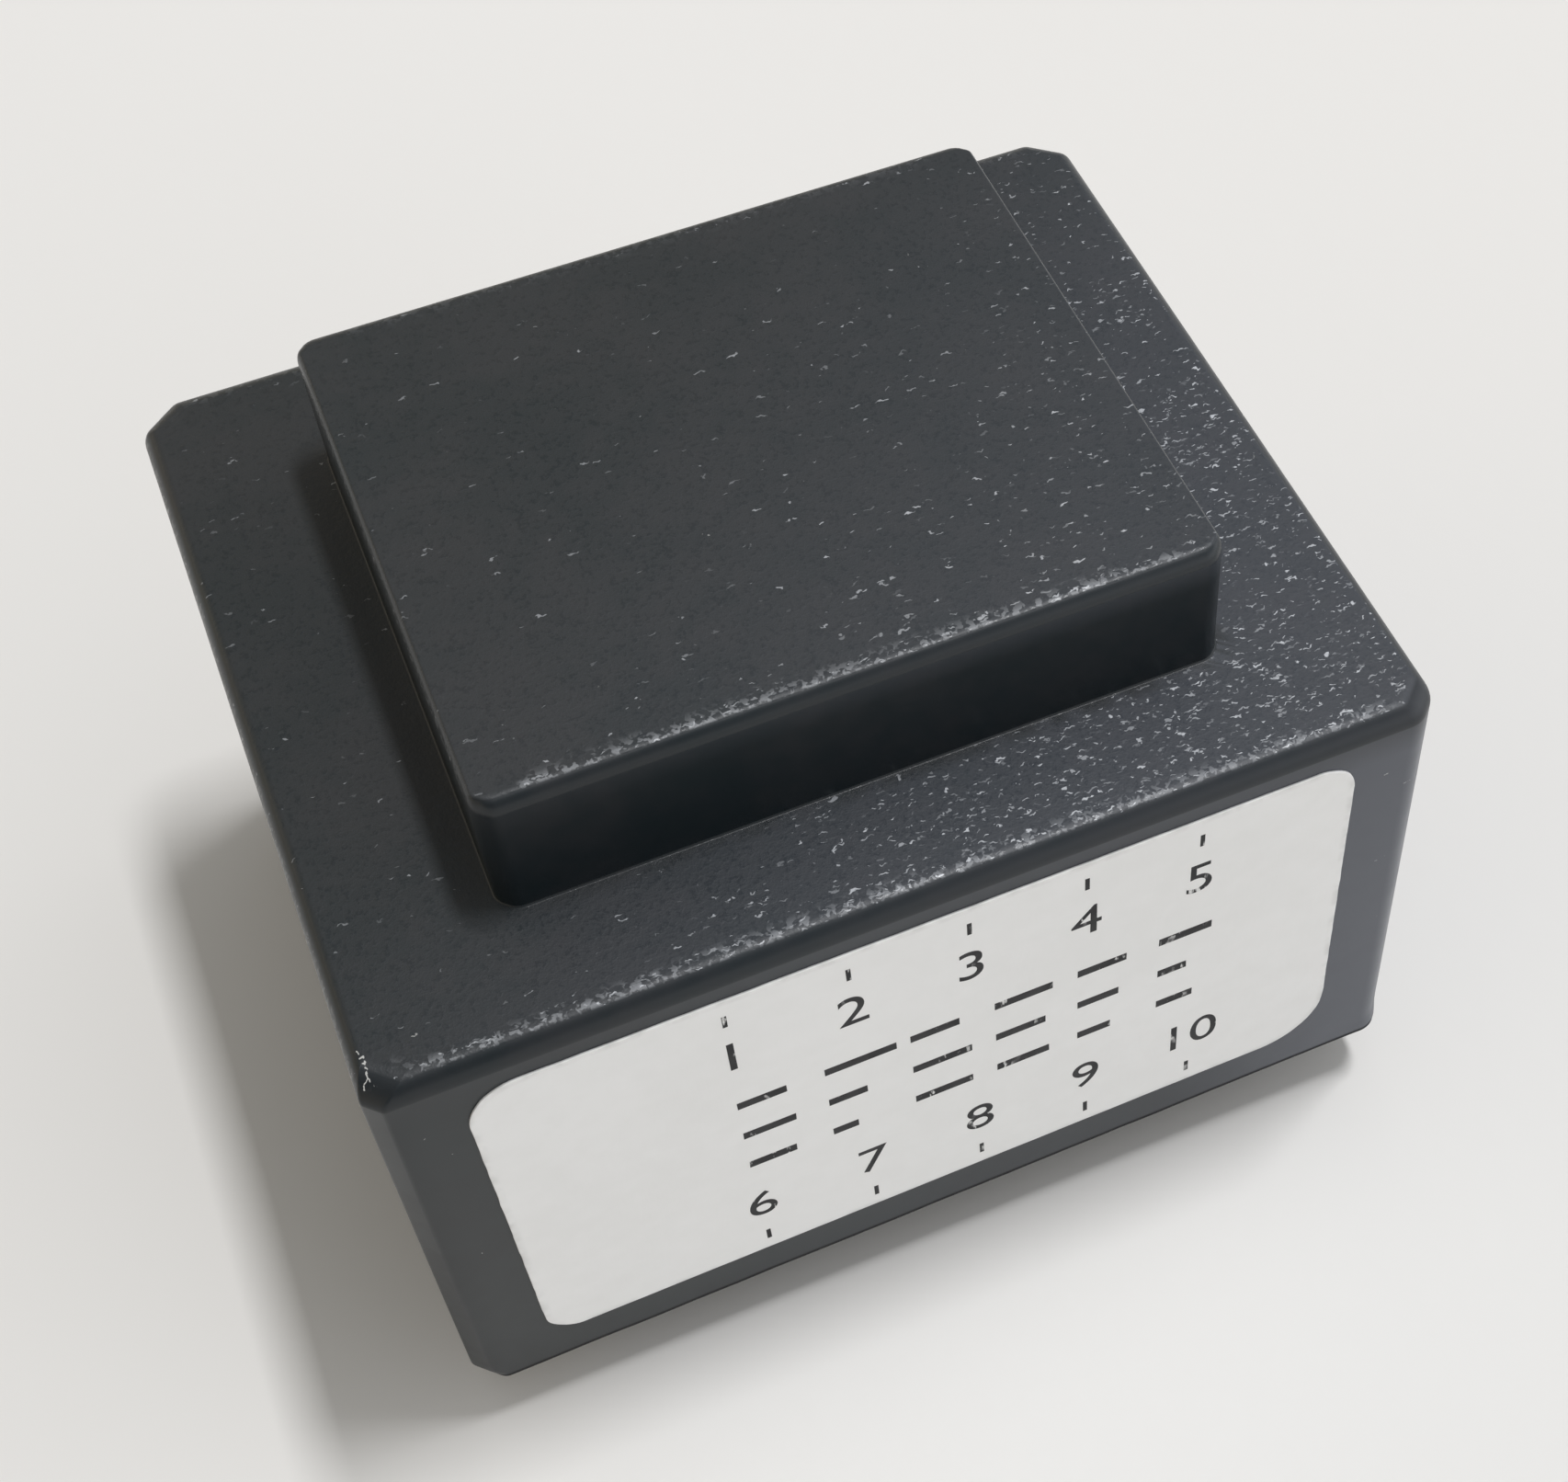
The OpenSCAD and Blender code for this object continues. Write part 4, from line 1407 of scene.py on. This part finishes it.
@dataclass
class ResinFill:
    """The poured resin: its CAD block, whose new underside climbs the walls and pins and has craters."""

    effects: Effects
    grid: float = 0.45
    wall_climb: float = 0.34
    wall_reach: float = 0.55
    pin_climb: float = 0.30
    pin_reach: float = 0.45
    craters: int = 14
    pin_gap: float = 0.6
    pin_half: float = 0.449

    def _crater_list(self, low: Vector, high: Vector) -> list[tuple[float, float, float]]:
        """Places burst bubbles, each as x, y and radius in millimetres."""
        noise.seed_set(11)
        found = []
        for _ in range(self.craters):
            x = blend(low.x + 2, high.x - 2, noise.random())
            y = blend(low.y + 2, high.y - 2, noise.random())
            found.append((x, y, blend(0.25, 0.8, noise.random() ** 2)))
        return found

    def _dent(self, x: float, y: float) -> float:
        """How deep the craters are at a place, less the low rims round them."""
        dent = 0.0
        for spot_x, spot_y, radius in self.bubbles:
            away = math.hypot(x - spot_x, y - spot_y) / radius
            if away < 1.6:
                rim = 0.08 * radius * ease(0.7, 1.05, away) * (1.0 - ease(1.05, 1.6, away))
                dent += 0.5 * radius * (1.0 - ease(0.5, 1.0, away)) - rim
        return dent

    def _depth(self, x: float, y: float, low: Vector, high: Vector) -> float:
        """How far below its flat level the resin's surface lies at a place, in millimetres."""
        to_wall = min(x - low.x, high.x - x, y - low.y, high.y - y)
        climb = self.wall_climb * math.exp(-max(to_wall, 0.0) / self.wall_reach)
        for pin_x, pin_y in self.pins:
            gap = max(math.hypot(x - pin_x, y - pin_y) - 0.5, 0.0)
            climb += self.pin_climb * math.exp(-gap / self.pin_reach)
        slow = 0.06 * drift((x, y, 0.0), 9.0, 5.5)
        return climb + slow - self._dent(x, y)

    def _clear_of_pins(self, spot: Vector, gap: float) -> bool:
        """Whether a place lies further than a gap from the middle of every pin, square fashion."""
        return all(max(abs(spot.x - x), abs(spot.y - y)) > gap for x, y in self.pins)

    @staticmethod
    def _lies_at(part: bmesh.types.BMFace | bmesh.types.BMEdge, level: float) -> bool:
        """Whether all corners of a face or an edge lie at a height, in metres."""
        return all(abs(vert.co.z - level) < 1e-6 for vert in part.verts)

    def build(self) -> Piece:
        """Builds and dresses the resin.

        Returns:
            The piece.
        """
        self.pins = [((low.x + high.x) / 2 / MM, (low.y + high.y) / 2 / MM)
                     for low, high in (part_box(name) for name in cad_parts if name.endswith("_pin"))]
        low, high = (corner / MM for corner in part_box("potting_resin"))
        self.bubbles = self._crater_list(low, high)
        skin = bmesh.new()
        skin.from_mesh(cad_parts["potting_resin"].data)
        bmesh.ops.remove_doubles(skin, verts=skin.verts, dist=1e-6)
        level = low.z * MM
        under = [face for face in skin.faces if self._lies_at(face, level)]
        bmesh.ops.delete(skin, geom=under, context="FACES")
        edges = [edge for edge in skin.edges if edge.is_boundary and self._lies_at(edge, level)]
        verts = list({vert for edge in edges for vert in edge.verts})
        number = {vert: index for index, vert in enumerate(verts)}
        points = [Vector((vert.co.x / MM, vert.co.y / MM)) for vert in verts]
        links = [(number[edge.verts[0]], number[edge.verts[1]]) for edge in edges]
        columns, rows = int((high.x - low.x) / self.grid), int((high.y - low.y) / self.grid)
        for row in range(1, rows):
            for column in range(1, columns):
                x = blend(low.x, high.x, column / columns)
                y = blend(low.y, high.y, row / rows)
                if self._clear_of_pins(Vector((x, y)), self.pin_gap):
                    points.append(Vector((x, y)))
        made, _, faces, origins, _, _ = geometry.delaunay_2d_cdt(points, links, [], 0, 1e-5, True)
        placed = []
        for spot, origin in zip(made, origins):
            known = [index for index in origin if index < len(verts)]
            vert = verts[known[0]] if known else skin.verts.new((spot.x * MM, spot.y * MM, level))
            placed.append(vert)
        for face in faces:
            centre = sum((made[index] for index in face), Vector((0.0, 0.0))) / len(face)
            if self._clear_of_pins(centre, self.pin_half):
                corners = [placed[index] for index in face]
                if len(set(corners)) == 3 and skin.faces.get(corners) is None:
                    skin.faces.new(corners)
        for vert in set(placed):
            vert.co.z -= self._depth(vert.co.x / MM, vert.co.y / MM, low, high) * MM
        bmesh.ops.recalc_face_normals(skin, faces=skin.faces)
        for face in skin.faces:
            face.smooth = face.normal.z < -0.3
        mesh = bpy.data.meshes.new("resin_fill")
        skin.to_mesh(mesh)
        skin.free()
        mesh.materials.append(CastResin("cast_resin", self.effects).make())
        return mount(new_piece("resin_fill", mesh), "resin", "potting_resin")


# ---------------------------------------------------------------- pins


@dataclass
class Pins:
    """The four tinned pins: a square shank in the strip, a round end below it with a drawn tip."""

    effects: Effects
    sides: int = 32
    radius: float = 0.4
    shank: float = 0.45
    shank_start: float = 0.62
    tip_length: float = 0.42
    tip_radius: float = 0.2
    tip_round: float = 0.09
    end_radius: float = 0.03
    round_end: float = 0.45
    corner_reach: float = 1.36
    chamfer: float = 0.05

    def _level(self, centre: Vector, size: float, squareness: float, height: float) -> Ring:
        """One ring of a pin, from round to square."""
        ring: Ring = []
        for step in range(self.sides):
            angle = 2 * math.pi * (step + 0.5) / self.sides
            across, up = math.cos(angle), math.sin(angle)
            grow = blend(1.0, min(1.0 / max(abs(across), abs(up)), self.corner_reach), squareness)
            ring.append((centre.x + size * grow * across, centre.y + size * grow * up, height))
        return ring

    def build(self) -> None:
        """Builds and dresses all four."""
        tin = TinnedMetal("pin_tin", self.effects).make()
        for name in sorted(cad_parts):
            if not name.endswith("_pin"):
                continue
            low, high = (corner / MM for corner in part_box(name))
            centre = (low + high) / 2
            loft = Loft()
            for step in range(7):
                slope = math.pi / 2 * step / 6
                size = blend(self.end_radius, self.tip_radius, math.sin(slope))
                height = low.z + self.tip_round * (1.0 - math.cos(slope))
                loft.add(self._level(centre, size, 0.0, height))
            for step in range(1, 5):
                part = step / 4
                size = blend(self.tip_radius, self.radius, math.sin(part * math.pi / 2) ** 0.8)
                height = low.z + blend(self.tip_round, self.tip_length, part)
                loft.add(self._level(centre, size, 0.0, height))
            for part in (0.2, 0.4, 0.6, 0.8, 1.0):
                height = blend(low.z + self.tip_length, self.round_end, part)
                loft.add(self._level(centre, self.radius, 0.0, height))
            loft.add(self._level(centre, self.shank, 1.0, self.shank_start))
            loft.add(self._level(centre, self.shank, 1.0, high.z - self.chamfer))
            loft.add(self._level(centre, self.shank - self.chamfer, 1.0, high.z))
            piece = loft.build(name.replace("_pin", "_terminal"), tin)
            mount(piece, "tinned_pin", name)


# ---------------------------------------------------------------- inner nodes


@dataclass
class Inside:
    """The pieces that the resin hides, which keep their CAD shapes and get finishes of their own."""

    effects: Effects

    def dress(self) -> None:
        """Gives every remaining CAD node its finish."""
        steel = SheetSteel("sheet_steel", self.effects).make()
        copper = WoundWire("thick_wire", self.effects, (0.50, 0.17, 0.05), (0.66, 0.27, 0.09), 0.5)
        enamel = WoundWire("lead_enamel", self.effects, (0.36, 0.10, 0.04), (0.50, 0.18, 0.07), 0.4)
        pale_tape = WrappedTape("pale_tape", self.effects, (0.70, 0.64, 0.42), (0.60, 0.52, 0.30))
        joint = TinnedMetal(
            "joint_solder", self.effects, (0.66, 0.66, 0.66), (0.50, 0.50, 0.50), 0.24, 0.42)
        finishes = {
            "bobbin": BobbinPlastic("bobbin_plastic", self.effects).make(),
            "core_sheets_odd": steel,
            "core_sheets_even": steel,
            "primary_winding": WoundWire("fine_wire", self.effects, pitch=0.16).make(),
            "secondary_winding": copper.make(),
            "primary_tape": WrappedTape("yellow_tape", self.effects).make(),
            "secondary_tape": pale_tape.make(),
        }
        lead, solder = enamel.make(), joint.make()
        for name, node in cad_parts.items():
            if name.endswith("_lead"):
                finishes[name] = lead
            elif name.endswith("_solder"):
                finishes[name] = solder
            if name in finishes:
                node.data.materials.clear()
                node.data.materials.append(finishes[name])
                log.info("%s: finished", name)


# ---------------------------------------------------------------- stage


@dataclass(frozen=True)
class RoomLight:
    """A bright part of the room: its heading, the cosines where it starts and is full, its colour."""

    heading: tuple[float, float]
    edge: float
    core: float
    colour: Colour


@dataclass
class Stage:
    """Floor, lamp, room light and camera."""

    effects: Effects
    floor_size: float = 4.0
    lamp_slope: float = 0.26
    lamp_height: float = 2.00
    lamp_across: float = 0.180
    lamp_along: float = 0.50
    lamp_power: float = 23.0
    lamp_colour: Colour = (0.985, 0.985, 1.0)
    room_dim: Colour = (0.150, 0.148, 0.140)
    room_low: Colour = (0.85, 0.84, 0.82)
    room_glow: Colour = (0.38, 0.40, 0.43)
    room_lights: tuple[RoomLight, ...] = (
        RoomLight((0.90, -0.43), 0.45, 0.90, (1.55, 1.56, 1.60)),
        RoomLight((-0.80, 0.60), 0.00, 0.80, (0.86, 0.76, 0.60)),
    )
    backdrop: Colour = (0.80, 0.795, 0.785)
    eye: Point = (-17.967, -69.178, 107.512)
    azimuth: float = -23.544
    elevation: float = 52.424
    roll: float = -0.593
    lens: float = 60.1646
    shift: tuple[float, float] = (-0.15669, -0.03932)

    def _floor(self) -> None:
        """Lays the floor at the pins' tips."""
        half = self.floor_size / 2
        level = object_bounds()[0].z
        mesh = bpy.data.meshes.new("floor")
        signs = ((-1, -1), (1, -1), (1, 1), (-1, 1))
        mesh.from_pydata([(x * half, y * half, level) for x, y in signs], [], [(0, 1, 2, 3)])
        mesh.materials.append(PaleFloor("pale_floor", self.effects).make())
        floor = new_piece("floor", mesh)
        floor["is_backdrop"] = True

    def _lamp(self) -> None:
        """Hangs the strip lamp overhead, to the right, parallel to the short side."""
        light = bpy.data.lights.new("strip_lamp", "AREA")
        light.shape = "RECTANGLE"
        light.size, light.size_y = self.lamp_across, self.lamp_along
        light.energy = self.lamp_power
        light.color = self.lamp_colour
        lamp = new_piece("strip_lamp", light)
        lamp.location = (self.lamp_slope * self.lamp_height, 0.0, self.lamp_height)
        lamp.rotation_euler = (0.0, math.atan(self.lamp_slope), 0.0)

    def _room(self) -> None:
        """Lights the room: dim all round, with windows low at the sides and a glow round the lamp."""
        world = bpy.data.worlds.new("room")
        bpy.context.scene.world = world
        world.use_nodes = True
        wiring = Wiring(world.node_tree)
        world.node_tree.nodes.clear()
        toward = wiring.add("ShaderNodeTexCoord").outputs["Generated"]
        side = wiring.add("ShaderNodeSeparateXYZ", {0: toward})
        level = wiring.add("ShaderNodeCombineXYZ", {"X": side.outputs["X"], "Y": side.outputs["Y"]})
        level = wiring.vector("NORMALIZE", level.outputs[0]).outputs[0]
        low = wiring.span(side.outputs["Z"], 0.80, 0.35)
        colour = wiring.tint(wiring.span(side.outputs["Z"], 0.34, 0.12), self.room_dim, self.room_low)
        for light in self.room_lights:
            heading = Vector((light.heading[0], light.heading[1], 0.0)).normalized()
            near = wiring.vector("DOT_PRODUCT", level, tuple(heading)).outputs["Value"]
            part = wiring.times(wiring.span(near, light.edge, light.core), low)
            colour = wiring.tint(part, colour, light.colour)
        lamp = Vector((self.lamp_slope, 0.0, 1.0)).normalized()
        close = wiring.vector("DOT_PRODUCT", toward, tuple(lamp)).outputs["Value"]
        glow = wiring.tint(wiring.span(close, 0.62, 0.93), (0.0, 0.0, 0.0), self.room_glow)
        both = wiring.add(
            "ShaderNodeMix", {0: 1.0, 6: colour, 7: glow}, data_type="RGBA", blend_type="ADD")
        room = wiring.add("ShaderNodeBackground", {"Color": both.outputs[2], "Strength": 1.0})
        pale = wiring.add("ShaderNodeBackground", {
            "Color": (*self.backdrop, 1.0), "Strength": 1.0})
        path = wiring.add("ShaderNodeLightPath")
        mixed = wiring.add("ShaderNodeMixShader", {
            0: path.outputs["Is Camera Ray"], 1: room.outputs[0], 2: pale.outputs[0]})
        result = wiring.add("ShaderNodeOutputWorld")
        wiring.feed(result.inputs[0], mixed.outputs[0])

    def _camera(self) -> None:
        """Sets the camera up."""
        data = bpy.data.cameras.new("camera")
        data.lens = self.lens
        data.sensor_width = 36.0
        data.shift_x, data.shift_y = self.shift
        data.clip_start = 0.001
        camera = new_piece("camera", data)
        angles = (self.azimuth, self.elevation, self.roll)
        azimuth, elevation, roll = (math.radians(angle) for angle in angles)
        flat = math.cos(elevation)
        back = Vector((math.sin(azimuth) * flat, -math.cos(azimuth) * flat, math.sin(elevation)))
        right = Vector((0.0, 0.0, 1.0)).cross(back).normalized()
        up = back.cross(right)
        right, up = (
            math.cos(roll) * right + math.sin(roll) * up,
            -math.sin(roll) * right + math.cos(roll) * up)
        turn = Matrix((right, up, back)).transposed()
        camera.matrix_world = Matrix.Translation(Vector(self.eye) * MM) @ turn.to_4x4()
        bpy.context.scene.camera = camera

    def build(self) -> None:
        """Sets the whole stage."""
        self._floor()
        self._lamp()
        self._room()
        self._camera()
        bpy.context.scene.view_settings.view_transform = "Standard"


def main() -> None:
    """Builds every sub-assembly in order."""
    logging.basicConfig(level=logging.INFO, format="%(name)s: %(message)s")
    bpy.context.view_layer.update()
    effects = Effects()
    Stage(effects).build()
    Housing(effects).build()
    Label(effects).build()
    ResinFill(effects).build()
    Pins(effects).build()
    Inside(effects).dress()


if __name__ == "__main__":
    main()
